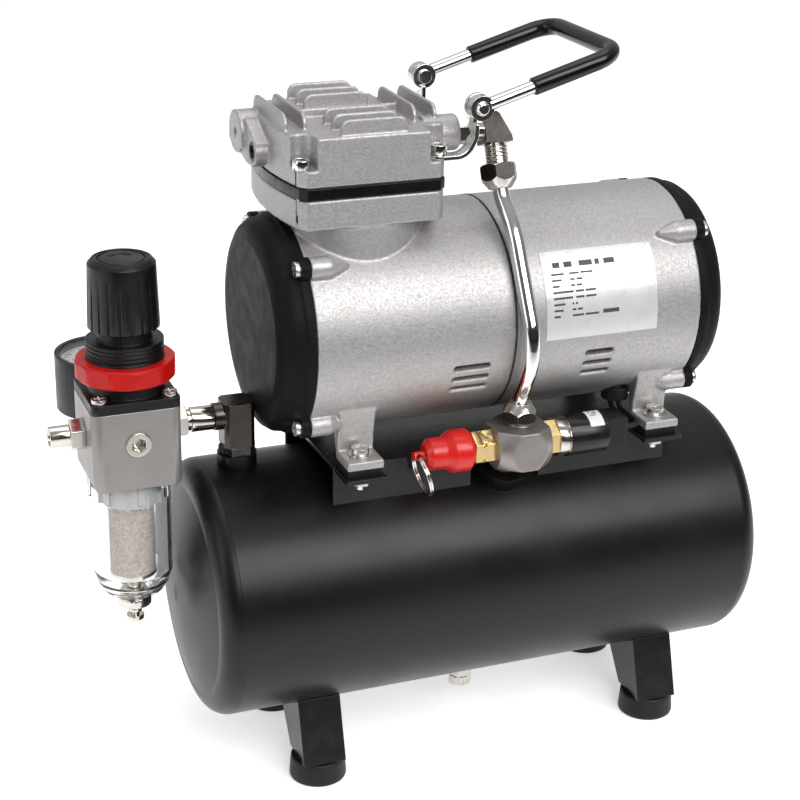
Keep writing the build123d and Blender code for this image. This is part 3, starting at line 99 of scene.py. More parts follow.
TANK = middle("tank_shell")
TANK_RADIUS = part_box("tank_shell")[1].z - TANK.z
MOTOR = Vector(JOINTS["rotor_spin"]["pos_m"])
MOTOR_RADIUS = 49.3 * MM
TUBE_RADIUS = 3.6 * MM
ELBOW_STEP = 3.0 * MM          # the outlet elbow stands this far to the left of the discharge tube
OUTLET_FORWARD = 14.5 * MM     # the head's outlet, in front of the motor's axis
OUTLET_HEIGHT = 298.7 * MM
OUTLET_LEAN = math.radians(22.0)


# ---- materials --------------------------------------------------------------------------------
class Paint:
    """A small helper that wires procedural nodes into one Principled material."""

    def __init__(self, name, metallic=0.0):
        self.material = bpy.data.materials.new(name)
        self.material.use_nodes = True
        self.tree = self.material.node_tree
        self.shader = self.tree.nodes["Principled BSDF"]
        self.shader.inputs["Metallic"].default_value = metallic
        self.place = self.tree.nodes.new("ShaderNodeTexCoord").outputs["Object"]

    def node(self, kind, **settings):
        made = self.tree.nodes.new(kind)
        for key, value in settings.items():
            setattr(made, key, value)
        return made

    def link(self, output, socket):
        self.tree.links.new(output, socket)

    def noise(self, size_mm, detail=3.0, stretch=(1, 1, 1)):
        """Noise whose grains are about size_mm across."""
        place = self.place
        if tuple(stretch) != (1, 1, 1):
            mapping = self.node("ShaderNodeMapping")
            mapping.inputs["Scale"].default_value = stretch
            self.link(place, mapping.inputs["Vector"])
            place = mapping.outputs["Vector"]
        made = self.node("ShaderNodeTexNoise")
        made.inputs["Scale"].default_value = 1000.0 / size_mm
        made.inputs["Detail"].default_value = detail
        self.link(place, made.inputs["Vector"])
        return made.outputs["Fac"]

    def cells(self, size_mm):
        """A random grey for each cell about size_mm across."""
        made = self.node("ShaderNodeTexVoronoi")
        made.inputs["Scale"].default_value = 1000.0 / size_mm
        self.link(self.place, made.inputs["Vector"])
        split = self.node("ShaderNodeSeparateColor")
        self.link(made.outputs["Color"], split.inputs["Color"])
        return split.outputs["Red"]

    def ramp(self, value, low, high, from_low=0.3, from_high=0.7):
        """The value moved from one range into another."""
        made = self.node("ShaderNodeMapRange")
        made.inputs["From Min"].default_value = from_low
        made.inputs["From Max"].default_value = from_high
        made.inputs["To Min"].default_value = low
        made.inputs["To Max"].default_value = high
        self.link(value, made.inputs["Value"])
        return made.outputs["Result"]

    def mix(self, share, first, second):
        """A colour between two colours; each is a socket or three numbers."""
        made = self.node("ShaderNodeMix", data_type="RGBA")
        for socket, colour in ((made.inputs["A"], first), (made.inputs["B"], second)):
            if isinstance(colour, bpy.types.NodeSocket):
                self.link(colour, socket)
            else:
                socket.default_value = (*colour, 1.0)
        if isinstance(share, bpy.types.NodeSocket):
            self.link(share, made.inputs["Factor"])
        else:
            made.inputs["Factor"].default_value = share
        return made.outputs["Result"]

    def rounded(self, radius_mm):
        """(normal, edge mask) of edges rounded by radius_mm."""
        bevel = self.node("ShaderNodeBevel", samples=6)
        bevel.inputs["Radius"].default_value = radius_mm * MM
        true_normal = self.node("ShaderNodeNewGeometry").outputs["Normal"]
        dot = self.node("ShaderNodeVectorMath", operation="DOT_PRODUCT")
        self.link(bevel.outputs["Normal"], dot.inputs[0])
        self.link(true_normal, dot.inputs[1])
        mask = self.ramp(dot.outputs["Value"], 1.0, 0.0, 0.80, 0.995)
        return bevel.outputs["Normal"], mask

    def bump(self, height, depth_mm, normal=None, strength=1.0):
        made = self.node("ShaderNodeBump")
        made.inputs["Distance"].default_value = depth_mm * MM
        made.inputs["Strength"].default_value = strength
        self.link(height, made.inputs["Height"])
        if normal is not None:
            self.link(normal, made.inputs["Normal"])
        return made.outputs["Normal"]

    def set(self, socket, value):
        target = self.shader.inputs[socket]
        if isinstance(value, bpy.types.NodeSocket):
            self.link(value, target)
        elif socket == "Base Color":
            target.default_value = (*value, 1.0)
        else:
            target.default_value = value


def shade(colour, factor):
    """A colour made lighter or darker."""
    return tuple(min(1.0, c * factor) for c in colour)


def general(name, colour, metallic=0.0, rough=0.4, vary=0.12, blotch_mm=18.0, rough_vary=0.06,
            grain_mm=0.8, grain_depth=0.02, edge_mm=0.3, edge_colour=None, gloss=0.5, stretch=(1, 1, 1)):
    """Colour blotches, roughness patches, fine surface grain and rounded, slightly worn edges."""
    paint = Paint(name, metallic)
    normal, edge = paint.rounded(edge_mm)
    blotches = paint.ramp(paint.noise(blotch_mm, 4.0), 0.0, 1.0)
    base = paint.mix(blotches, shade(colour, 1 - vary), shade(colour, 1 + vary))
    if edge_colour is not None:
        wear = paint.node("ShaderNodeMath", operation="MULTIPLY")
        paint.link(edge, wear.inputs[0])
        paint.link(paint.ramp(paint.noise(3.0, 4.0), 0.15, 0.95), wear.inputs[1])
        base = paint.mix(wear.outputs["Value"], base, edge_colour)
    paint.set("Base Color", base)
    patches = paint.noise(blotch_mm * 0.4, 5.0, stretch)
    paint.set("Roughness", paint.ramp(patches, rough - rough_vary, rough + rough_vary))
    paint.set("Normal", paint.bump(paint.noise(grain_mm, 2.0, stretch), grain_depth, normal))
    paint.set("Specular IOR Level", gloss)
    return paint.material


def cast_metal(name, colour, rough=0.42, sparkle_mm=0.75, depth=0.05):
    """Silver paint on a sand-textured casting: bright and dark grains, and a painted highlight along the edges.
    """
    paint = Paint(name, 0.70)
    normal, edge = paint.rounded(0.5)
    grains = paint.cells(sparkle_mm)
    fine = paint.noise(sparkle_mm * 1.3, 3.0)
    speckled = paint.mix(grains, shade(colour, 0.84), shade(colour, 1.12))
    blotches = paint.ramp(paint.noise(60.0, 2.0), 0.0, 1.0)
    base = paint.mix(blotches, speckled, paint.mix(0.5, speckled, shade(colour, 0.93)))
    # Edges made lighter: a painted highlight along every edge of the casting.
    painted_edge_highlight = paint.ramp(edge, 0.0, 0.55, 0.0, 1.0)
    paint.set("Base Color", paint.mix(painted_edge_highlight, base, shade(colour, 1.25)))
    paint.set("Roughness", paint.ramp(fine, rough - 0.08, rough + 0.12))
    paint.set("Normal", paint.bump(fine, depth, normal))
    return paint.material


def clear_plastic(name, tint, rough=0.05):
    """Clear moulding: mostly see-through, with real highlights."""
    paint = Paint(name)
    paint.set("Base Color", paint.mix(paint.ramp(paint.noise(30.0), 0, 1), tint, shade(tint, 0.96)))
    paint.set("Transmission Weight", 1.0)
    paint.set("IOR", 1.30)
    paint.set("Roughness", paint.ramp(paint.noise(8.0, 4.0), rough, rough + 0.05))
    paint.set("Normal", paint.bump(paint.noise(9.0, 1.0), 0.05, paint.rounded(0.25)[0]))
    return paint.material


def sintered(name, colour):
    """Porous beads pressed together."""
    paint = Paint(name)
    beads = paint.cells(0.9)
    paint.set("Base Color", paint.mix(beads, shade(colour, 0.72), shade(colour, 1.08)))
    paint.set("Roughness", paint.ramp(beads, 0.75, 0.9, 0.0, 1.0))
    paint.set("Normal", paint.bump(paint.noise(0.9, 2.0), 0.25))
    return paint.material


BLACK = (0.0050, 0.0047, 0.0045)
LOOKS = {
    "tank_enamel": general("tank_enamel", (0.0040, 0.0036, 0.0034), rough=0.35, vary=0.10, blotch_mm=60,
                           rough_vary=0.04, grain_mm=2.6, grain_depth=0.010, edge_mm=0.6, gloss=0.30),
    "foot_enamel": general("foot_enamel", (0.0110, 0.0104, 0.0102), rough=0.24, rough_vary=0.05,
                           grain_mm=2.0, grain_depth=0.012, edge_mm=0.5, edge_colour=(0.05, 0.05, 0.052),
                           gloss=0.35),
    "cast_silver": cast_metal("cast_silver", (0.46, 0.448, 0.442), rough=0.48),
    "cover_satin": general("cover_satin", (0.0085, 0.0078, 0.0074), rough=0.48, grain_mm=0.5, gloss=0.07,
                           grain_depth=0.012, edge_mm=0.5, edge_colour=(0.03, 0.028, 0.027)),
    "rubber": general("rubber", (0.007, 0.007, 0.0075), rough=0.50, grain_mm=0.6, grain_depth=0.05,
                      edge_mm=0.6, edge_colour=(0.02, 0.02, 0.02), gloss=0.30),
    "zinc": general("zinc", (0.70, 0.68, 0.64), 1.0, rough=0.30, vary=0.10, blotch_mm=6, grain_mm=1.2,
                    grain_depth=0.01, edge_mm=0.25),
    "chrome": general("chrome", (0.74, 0.73, 0.72), 1.0, rough=0.10, vary=0.04, rough_vary=0.03,
                      grain_mm=5.0, grain_depth=0.008, edge_mm=0.25),
    "nickel": general("nickel", (0.62, 0.585, 0.54), 1.0, rough=0.16, vary=0.08, blotch_mm=8,
                      grain_mm=2.0, grain_depth=0.008, edge_mm=0.3, edge_colour=(0.80, 0.77, 0.73)),
    "dark_nickel": general("dark_nickel", (0.030, 0.025, 0.023), 0.75, rough=0.30, vary=0.12, blotch_mm=9,
                           grain_mm=1.5, grain_depth=0.012, edge_mm=0.4, edge_colour=(0.40, 0.37, 0.35)),
    "black_nickel": general("black_nickel", (0.070, 0.062, 0.057), 0.9, rough=0.25, vary=0.12, blotch_mm=9,
                            grain_mm=1.5, grain_depth=0.012, edge_mm=0.4, edge_colour=(0.25, 0.23, 0.21)),
    "grey_casting": general("grey_casting", (0.31, 0.28, 0.265), 0.75, rough=0.38, vary=0.10, blotch_mm=14,
                            grain_mm=0.7, grain_depth=0.02, edge_mm=0.5, edge_colour=(0.62, 0.60, 0.58)),
    "brass": general("brass", (0.80, 0.60, 0.28), 1.0, rough=0.20, vary=0.10, blotch_mm=7, rough_vary=0.06,
                     grain_mm=1.0, grain_depth=0.008, edge_mm=0.3, edge_colour=(0.95, 0.80, 0.50)),
    "red_plastic": general("red_plastic", (0.60, 0.010, 0.008), rough=0.30, vary=0.06, grain_mm=0.9,
                           grain_depth=0.02, edge_mm=0.6, edge_colour=(0.85, 0.06, 0.05)),
    "deep_red": general("deep_red", (0.47, 0.005, 0.004), rough=0.36, gloss=0.3, vary=0.08, grain_mm=0.6,
                        grain_depth=0.015, edge_mm=0.4, edge_colour=(0.50, 0.012, 0.010)),
    "black_plastic": general("black_plastic", BLACK, rough=0.38, vary=0.15, grain_mm=0.45, gloss=0.38,
                             grain_depth=0.015, edge_mm=0.35, edge_colour=(0.03, 0.028, 0.027)),
    "switch_body": general("switch_body", BLACK, rough=0.28, vary=0.15, grain_mm=0.6, gloss=0.40,
                           grain_depth=0.012, edge_mm=0.5, edge_colour=(0.03, 0.027, 0.026)),
    "vinyl": general("vinyl", (0.0036, 0.0035, 0.0034), rough=0.20, vary=0.15, blotch_mm=30, grain_mm=3.5,
                     grain_depth=0.03, edge_mm=0.8, gloss=0.40),
    "anodised_black": general("anodised_black", (0.003, 0.003, 0.003), rough=0.28, vary=0.2, grain_mm=0.6,
                              grain_depth=0.01, edge_mm=0.3, edge_colour=(0.06, 0.06, 0.06), gloss=0.35),
    "satin_grey": general("satin_grey", (0.30, 0.280, 0.270), 0.45, rough=0.36, vary=0.07, blotch_mm=20,
                          grain_mm=0.7, grain_depth=0.012, edge_mm=0.6, edge_colour=(0.58, 0.56, 0.545)),
    "clear_bowl": clear_plastic("clear_bowl", (0.97, 0.975, 0.975)),
    "gauge_glass": clear_plastic("gauge_glass", (0.98, 0.985, 0.985), 0.02),
    "white_moulding": general("white_moulding", (0.80, 0.80, 0.79), rough=0.42, vary=0.05, edge_mm=0.4),
    "sinter": sintered("sinter", (0.70, 0.62, 0.57)),
    "film": general("film", (0.74, 0.735, 0.73), 0.35, rough=0.30, vary=0.03, grain_mm=1.5,
                    grain_depth=0.004, edge_mm=0.1),
    "sticker": general("sticker", (0.74, 0.74, 0.73), rough=0.5, vary=0.05, grain_mm=0.5, edge_mm=0.1),
    "print": general("print", (0.05, 0.05, 0.055), rough=0.5, vary=0.2, grain_mm=0.5, edge_mm=0.05),
    "dial_paper": general("dial_paper", (0.82, 0.82, 0.80), rough=0.55, vary=0.03, edge_mm=0.1),
    "steel": general("steel", (0.56, 0.56, 0.56), 1.0, rough=0.30, vary=0.10, blotch_mm=5, edge_mm=0.2,
                     stretch=(0.2, 1, 1)),
    "laminations": general("laminations", (0.30, 0.30, 0.32), 0.9, rough=0.42, grain_mm=0.5,
                           grain_depth=0.12, stretch=(1, 0.02, 0.02)),
    "copper": general("copper", (0.70, 0.30, 0.14), 1.0, rough=0.30, grain_mm=0.7, grain_depth=0.15,
                      stretch=(0.05, 1, 1)),
    "fan_plastic": general("fan_plastic", (0.62, 0.62, 0.60), rough=0.45),
    "gasket": general("gasket", (0.03, 0.03, 0.03), rough=0.75, grain_mm=0.5, grain_depth=0.05),
}
NODE_LOOKS = {
    "tank_enamel": ["tank_shell", "tank_ends", "tank_ports"],
    "foot_enamel": ["foot_brackets", "motor_brackets"],
    "cast_silver": ["crankcase", "motor_casing", "cylinder_head"],
    "cover_satin": ["left_end_cover", "right_end_cover"],
    "rubber": ["rubber_feet", "mount_pads", "cable_grommets", "switch_lead"],
    "zinc": ["mounting_fasteners", "pan_head_screws"],
    "chrome": ["head_bolts", "handle_brackets", "handle_bail", "safety_ring", "discharge_tube"],
    "nickel": ["port_fittings", "drain_screw", "bowl_drain_seat", "bowl_drain_stem", "filter_post"],
    "dark_nickel": ["outlet_fittings"],
    "black_nickel": ["inlet_fittings"],
    "grey_casting": ["manifold"],
    "brass": ["brass_adapters", "gauge_stem", "adjusting_screw"],
    "red_plastic": ["safety_valve_cap"],
    "deep_red": ["red_ring_nut", "gauge_needle"],
    "black_plastic": ["regulator_knob", "regulator_bonnet", "gauge_case"],
    "switch_body": ["pressure_switch"],
    "vinyl": ["handle_grip"],
    "anodised_black": ["valve_plate"],
    "satin_grey": ["regulator_body"],
    "clear_bowl": ["filter_bowl"],
    "gauge_glass": ["gauge_lens"],
    "white_moulding": ["filter_baffle"],
    "sinter": ["filter_element"],
    "film": ["labels"],
    "dial_paper": ["gauge_dial"],
    "steel": ["crankshaft", "shaft_bearings", "connecting_rod", "cylinder_sleeve", "regulator_spring"],
    "laminations": ["stator_core", "rotor_core"],
    "copper": ["stator_windings"],
    "fan_plastic": ["cooling_fan"],
    "gasket": ["head_gaskets", "piston_head", "regulator_valve"],
}
for look, names in NODE_LOOKS.items():
    for node_name in names:
        NODES[node_name].data.materials.clear()
        NODES[node_name].data.materials.append(LOOKS[look])


def repaint(node, look, chosen, facing=lambda normal: True):
    """Give the faces of a CAD node that satisfy chosen(middle) and facing(normal) another look."""
    mesh = NODES[node].data
    mesh.materials.append(LOOKS[look])
    slot = len(mesh.materials) - 1
    for face in mesh.polygons:
        if chosen(face.center) and facing(face.normal):
            face.material_index = slot


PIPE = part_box("discharge_tube")[1].x - TUBE_RADIUS
ELBOW = PIPE - ELBOW_STEP
NUT_TOP = min(solids_of("outlet_fittings"), key=lambda box: box[0].z)[1].z + MM
DOWN = Vector((0, -math.sin(OUTLET_LEAN), -math.cos(OUTLET_LEAN)))
OUTLET = Vector((ELBOW, MOTOR.y - OUTLET_FORWARD, OUTLET_HEIGHT))
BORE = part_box("regulator_body")[1]
repaint("inlet_fittings", "nickel", lambda p: p.x < BORE.x + 16 * MM)


def along_outlet(point):
    """How far a point lies down the leaning outlet pipe, in millimetres."""
    return (point - OUTLET).dot(DOWN) / MM


repaint("outlet_fittings", "nickel", lambda p: p.x < ELBOW - 6.4 * MM or p.z < NUT_TOP)
repaint("outlet_fittings", "nickel", lambda p: p.z > NUT_TOP and along_outlet(p) > 6.7)
# The flats of the two pipe nuts are darker than their turned cones.
repaint("outlet_fittings", "dark_nickel", lambda p: p.z > NUT_TOP and along_outlet(p) > 15.0,
        lambda normal: abs(normal.dot(DOWN)) < 0.02)
repaint("outlet_fittings", "dark_nickel", lambda p: p.z < NUT_TOP, lambda normal: abs(normal.z) < 0.02)
repaint("pressure_switch", "nickel", lambda p: p.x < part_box("pressure_switch")[0].x + 5 * MM)
repaint("tank_ports", "nickel", lambda p: p.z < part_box("tank_ports")[0].z + 5.2 * MM)
repaint("port_fittings", "dark_nickel", lambda p: p.z > TANK.z + 150 * MM)
repaint("labels", "sticker", lambda p: p.z < MOTOR.z - 30 * MM)


# ---- rounding of the CAD nodes ------------------------------------------------------------------
def soften(node, width_mm, segments=2, angle=32.0):
    """Round a CAD node's sharp edges with a bevel."""
    piece = NODES[node]
    weld = piece.modifiers.new("weld", "WELD")
    weld.merge_threshold = 2e-6
    flat = piece.modifiers.new("flat", "DECIMATE")
    flat.decimate_type = "DISSOLVE"
    flat.angle_limit = math.radians(0.5)
    bevel = piece.modifiers.new("bevel", "BEVEL")
    bevel.width = width_mm * MM
    bevel.segments = segments
    bevel.limit_method = "ANGLE"
    bevel.angle_limit = math.radians(angle)
    bevel.harden_normals = True
    bevel.use_clamp_overlap = True


def cast(node, voxel_mm, passes=6):
    """Give a CAD node the soft edges and fillets of a casting."""
    piece = NODES[node]
    remesh = piece.modifiers.new("remesh", "REMESH")
    remesh.mode = "VOXEL"
    remesh.voxel_size = voxel_mm * MM
    remesh.use_smooth_shade = True
    smooth = piece.modifiers.new("smooth", "SMOOTH")
    smooth.factor = 0.5
    smooth.iterations = passes


cast("cylinder_head", 0.45)
cast("crankcase", 0.6)
cast("motor_casing", 0.6)
cast("manifold", 0.4)
for rounded_node, width in (
        ("left_end_cover", 0.8), ("right_end_cover", 0.8), ("foot_brackets", 0.7), ("rubber_feet", 1.0),
        ("motor_brackets", 0.4), ("mount_pads", 0.5), ("mounting_fasteners", 0.35), ("pan_head_screws", 0.35),
        ("head_bolts", 0.3), ("valve_plate", 0.4), ("handle_brackets", 0.35), ("outlet_fittings", 0.5),
        ("inlet_fittings", 0.6), ("brass_adapters", 0.45), ("safety_valve_cap", 0.8), ("pressure_switch", 0.6),
        ("regulator_body", 0.9), ("regulator_bonnet", 0.4), ("red_ring_nut", 0.5), ("regulator_knob", 0.35),
        ("port_fittings", 0.4), ("gauge_case", 0.8), ("bowl_drain_seat", 0.4), ("bowl_drain_stem", 0.3),
        ("cable_grommets", 0.7), ("handle_grip", 0.5), ("drain_screw", 0.3), ("filter_baffle", 0.3)):
    soften(rounded_node, width)


# ---- detail pieces --------------------------------------------------------------------------------
def add_piece(name, bm, look, body="compressor", smooth=True):
    """Turn a bmesh into a piece that rides on a body."""
    bmesh.ops.recalc_face_normals(bm, faces=bm.faces)
    mesh = bpy.data.meshes.new(name)
    bm.to_mesh(mesh)
    bm.free()
    piece = bpy.data.objects.new(name, mesh)
    bpy.context.scene.collection.objects.link(piece)
    piece.data.materials.append(LOOKS[look])
    for face in piece.data.polygons:
        face.use_smooth = smooth
    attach(piece, body)
    return piece


def tube_along(bm, points, radius, sides=10, closed=False):
    """Sweep a round section along points, with open ends capped."""
    rings = []
    count = len(points)
    previous = None
    for i, point in enumerate(points):
        ahead = points[(i + 1) % count] if closed or i < count - 1 else point
        behind = points[i - 1] if closed or i > 0 else point
        along = (ahead - behind).normalized()
        if previous is None:
            across = along.orthogonal().normalized()
        else:
            across = (previous - along * previous.dot(along)).normalized()
        previous = across
        other = along.cross(across)
        turn = [2 * math.pi * k / sides for k in range(sides)]
        spokes = [math.cos(a) * across + math.sin(a) * other for a in turn]
        rings.append([bm.verts.new(point + radius * spoke) for spoke in spokes])
    pairs = list(zip(rings, rings[1:])) + ([(rings[-1], rings[0])] if closed else [])
    for first, second in pairs:
        for k in range(sides):
            bm.faces.new((first[k], first[(k + 1) % sides], second[(k + 1) % sides], second[k]))
    if not closed:
        bm.faces.new(rings[0][::-1])
        bm.faces.new(rings[-1])


def thread(name, start, direction, length, radius, pitch, look, body="compressor", proud=0.18):
    """A rounded helical ridge round a fitting: the visible crests of its thread. Millimetres."""
    direction = Vector(direction).normalized()
    across = direction.orthogonal().normalized()
    other = direction.cross(across)
    steps = 28
    total = int(steps * length / pitch)
    points = []
    for i in range(total + 1):
        angle = 2 * math.pi * i / steps
        out = math.cos(angle) * across + math.sin(angle) * other
        points.append(start + direction * (pitch * MM * i / steps) + out * radius * MM)
    bm = bmesh.new()
    tube_along(bm, points, (pitch * 0.36) * MM, 6)
    # The ridge stands only a little proud of the fitting.
    for vert in bm.verts:
        along = (vert.co - start).dot(direction)
        centre = start + direction * along
        out = vert.co - centre
        reach = min(out.length, (radius + proud) * MM)
        vert.co = centre + out.normalized() * reach
    return add_piece(name, bm, look, body)


def slab(bm, corners_low, corners_high):
    """A six-sided solid between two quads of points given in the same order."""
    low = [bm.verts.new(p) for p in corners_low]
    high = [bm.verts.new(p) for p in corners_high]
    bm.faces.new(low[::-1])
    bm.faces.new(high)
    for k in range(4):
        bm.faces.new((low[k], low[(k + 1) % 4], high[(k + 1) % 4], high[k]))


def curved_bar(bm, axis, radius, x0, x1, angle0, angle1, thick=0.05):
    """A thin printed bar on a cylinder about a line along X. Millimetres from the axis, degrees."""
    steps = max(1, int(abs(angle1 - angle0) / 3))
    for i in range(steps):
        quads = []
        for reach in (radius - 0.05, radius + thick):
            corners = []
            for x, share in ((x0, i), (x1, i), (x1, i + 1), (x0, i + 1)):
                angle = math.radians(angle0 + (angle1 - angle0) * share / steps)
                corners.append(axis + Vector((x, -reach * math.cos(angle), reach * math.sin(angle))) * MM)
            quads.append(corners)
        slab(bm, *quads)


def build_rating_marks():
    """Plain bars in rows, in place of a rating plate's text."""
    low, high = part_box("labels")
    left = (low.x - MOTOR.x) / MM
    radius = MOTOR_RADIUS / MM + 0.25
    bm = bmesh.new()
    for x0, x1 in ((5.0, 8.5), (10.5, 14.5), (18.0, 24.5), (25.8, 28.0), (30.2, 35.5)):
        curved_bar(bm, MOTOR, radius, left + x0, left + x1, 32.5, 35.4)
    rows = ((3.6, 9.8, 12.5, 24.0), (3.6, 8.4, 12.5, 18.5), (3.6, 7.0, 12.5, 18.0), (3.6, 13.4, 14.5, 24.5),
            (3.6, 13.0, 14.5, 24.5), (3.6, 9.0, 12.5, 15.2), (3.6, 8.0, 12.5, 17.4), (3.6, 6.6, 12.5, 25.5))
    for i, (a0, a1, b0, b1) in enumerate(rows):
        angle = 28.6 - 3.1 * i
        curved_bar(bm, MOTOR, radius, left + a0, left + a1, angle, angle + 1.05)
        split = b0 + (b1 - b0) * 0.45
        curved_bar(bm, MOTOR, radius, left + b0, left + split - 0.4, angle, angle + 1.05)
        curved_bar(bm, MOTOR, radius, left + split + 0.4, left + b1, angle, angle + 1.05)
    curved_bar(bm, MOTOR, radius, left + 27.5, left + 35.5, 6.9, 9.0)
    curved_bar(bm, MOTOR, radius, left + 2.6, left + 36.5, 31.0, 31.15)
    add_piece("rating_marks", bm, "print", smooth=False)


def build_sticker_marks():
    """A faint block pattern on the switch's sticker."""
    sticker = min(solids_of("labels"), key=lambda box: box[1].z)
    switch = middle("pressure_switch")
    axis = Vector((0, switch.y, (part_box("safety_valve_cap")[0].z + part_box("safety_valve_cap")[1].z) / 2))
    left = sticker[0].x / MM
    bm = bmesh.new()
    for column in range(4):
        for row in range(4):
            if (column * 3 + row * 5) % 4 != 1:
                x0 = left + 1.6 + column * 1.0
                curved_bar(bm, axis, 9.7, x0, x0 + 0.62, 72 + row * 7.0, 76.4 + row * 7.0)
    add_piece("sticker_marks", bm, "print", smooth=False)


def build_split_ring():
    """Two turns of spring wire that lie side by side."""
    pivot = Vector(JOINTS["pull_ring_swing"]["pos_m"])
    low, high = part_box("safety_ring")
    radius = (high.y - low.y) / 2 - 0.5 * MM
    lean = math.radians(15.0)
    down = Vector((math.sin(lean), 0, -math.cos(lean)))
    normal = Vector((math.cos(lean), 0, math.sin(lean)))
    side = Vector((0, 1, 0))
    points = []
    steps = 60
    for i in range(2 * steps + 1):
        angle = 2 * math.pi * i / steps
        # The wire steps across to the second turn over a short stretch.
        turn = i / steps
        shift = -0.52 + 1.04 * min(1.0, max(0.0, (turn - 0.94) / 0.12))
        out = -math.cos(angle) * down + math.sin(angle) * side
        points.append(pivot + down * radius + out * radius + normal * shift * MM)
    bm = bmesh.new()
    tube_along(bm, points, 0.5 * MM, 10)
    piece = add_piece("split_ring", bm, "chrome", "pull_ring")
    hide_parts("safety_ring")


def dial_number(name, words, place, size_mm):
    """A number printed on the dial, lying flat and facing up."""
    curve = bpy.data.curves.new(name, "FONT")
    curve.body = words
    curve.size = size_mm * MM
    curve.align_x = "CENTER"
    curve.align_y = "CENTER"
    curve.extrude = 0.04 * MM
    piece = bpy.data.objects.new(name, curve)
    bpy.context.scene.collection.objects.link(piece)
    piece.location = place
    curve.materials.append(LOOKS["print"])
    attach(piece, "compressor")


def build_dial_marks():
    """Ticks and numbers of the gauge, read clockwise from the lower left."""
    dial = middle("gauge_dial")
    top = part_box("gauge_dial")[1].z
    outer = (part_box("gauge_dial")[1].x - dial.x) - 1.2 * MM
    bm = bmesh.new()
    facing = math.radians(-90.0)
    for i in range(41):
        angle = facing - math.radians(135.0) + math.radians(270.0 * (1 - i / 40)) + math.radians(180.0)
        long = i % 4 == 0
        inner = outer - (3.0 if long else 1.7) * MM
        half = (0.28 if long else 0.14) * MM
        out = Vector((math.cos(angle), math.sin(angle), 0))
        side = Vector((-out.y, out.x, 0)) * half
        foot = Vector((dial.x, dial.y, top - 0.02 * MM))
        near = foot + out * inner
        far = foot + out * outer
        low = [near - side, far - side, far + side, near + side]
        slab(bm, low, [p + Vector((0, 0, 0.07 * MM)) for p in low])
        if i % 8 == 0:
            place = foot + out * (inner - 2.3 * MM) + Vector((0, 0, 0.05 * MM))
            dial_number(f"dial_number_{i // 4}", str(i // 4), place, 3.0)
    add_piece("dial_ticks", bm, "print", smooth=False)


def build_knob_marks():
    """A raised ring and a turning arrow on top of the regulator's knob."""
    low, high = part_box("regulator_knob")
    centre = Vector(((low.x + high.x) / 2, (low.y + high.y) / 2, high.z))
    bm = bmesh.new()
    circle = [centre + Vector((math.cos(a), math.sin(a), 0)) * 12.0 * MM
              for a in (2 * math.pi * k / 72 for k in range(72))]
    tube_along(bm, circle, 0.35 * MM, 8, closed=True)
    arc = [centre + Vector((math.cos(a), math.sin(a), 0)) * 5.6 * MM
           for a in (math.radians(30 + 8 * k) for k in range(15))]
    tube_along(bm, arc, 0.32 * MM, 8)
    tip = arc[-1]
    for spread in (-1, 1):
        angle = math.radians(142 + 90)
        back = Vector((math.cos(angle + spread * 0.75 + math.pi), math.sin(angle + spread * 0.75 + math.pi), 0))
        tube_along(bm, [tip, tip + back * 2.2 * MM], 0.32 * MM, 8)
    add_piece("knob_marks", bm, "black_plastic", "knob")


def build_threads():
    """Thread crests on the fittings that show them."""
    start = OUTLET + DOWN * 7.2 * MM
    thread("pipe_thread", start, DOWN, 7.6, 4.9, 1.7, "nickel", proud=0.25)
    outlet = min(solids_of("port_fittings"), key=lambda box: box[0].x)
    y = (outlet[0].y + outlet[1].y) / 2
    z = (outlet[0].z + outlet[1].z) / 2
    tip = Vector((outlet[0].x + 1.2 * MM, y, z))
    thread("outlet_thread", tip, (1, 0, 0), 6.6, 4.8, 0.9, "nickel", proud=0.0)
    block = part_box("manifold")
    top = Vector((PIPE, middle("safety_valve_cap").y, block[1].z - 5.2 * MM))
    thread("manifold_thread", top, (0, 0, 1), 2.6, 5.4, 1.3, "chrome")


def build_joint_line():
    """A thin dark ring where the two motor castings meet: painted shade of the seam between them."""
    bm = bmesh.new()
    rings = []
    sides = 160
    turn = [2 * math.pi * k / sides for k in range(sides)]
    for x, reach in ((-0.45, 48.6), (-0.45, 49.42), (0.45, 49.42), (0.45, 48.6)):
        points = [Vector((x, reach * math.cos(a), reach * math.sin(a))) * MM for a in turn]
        rings.append([bm.verts.new(MOTOR + point) for point in points])
    for first, second in zip(rings, rings[1:] + rings[:1]):
        for k in range(sides):
            bm.faces.new((first[k], first[(k + 1) % sides], second[(k + 1) % sides], second[k]))
    add_piece("joint_line", bm, "gasket", smooth=False)


build_joint_line()
build_rating_marks()
build_sticker_marks()
build_split_ring()
build_dial_marks()
build_knob_marks()
build_threads()


# ---- stage --------------------------------------------------------------------------------------
def look_at(obj, target):
    direction = Vector(target) - obj.location
    obj.rotation_euler = direction.to_track_quat("-Z", "Y").to_euler()


def area_light(name, place, target, width, height, watts, colour=(1, 1, 1)):
    data = bpy.data.lights.new(name, "AREA")
    data.shape = "RECTANGLE"
    data.size = width
    data.size_y = height
    data.energy = watts
    data.color = colour
    light = bpy.data.objects.new(name, data)
    bpy.context.scene.collection.objects.link(light)
    light.location = place
    look_at(light, target)
    return light


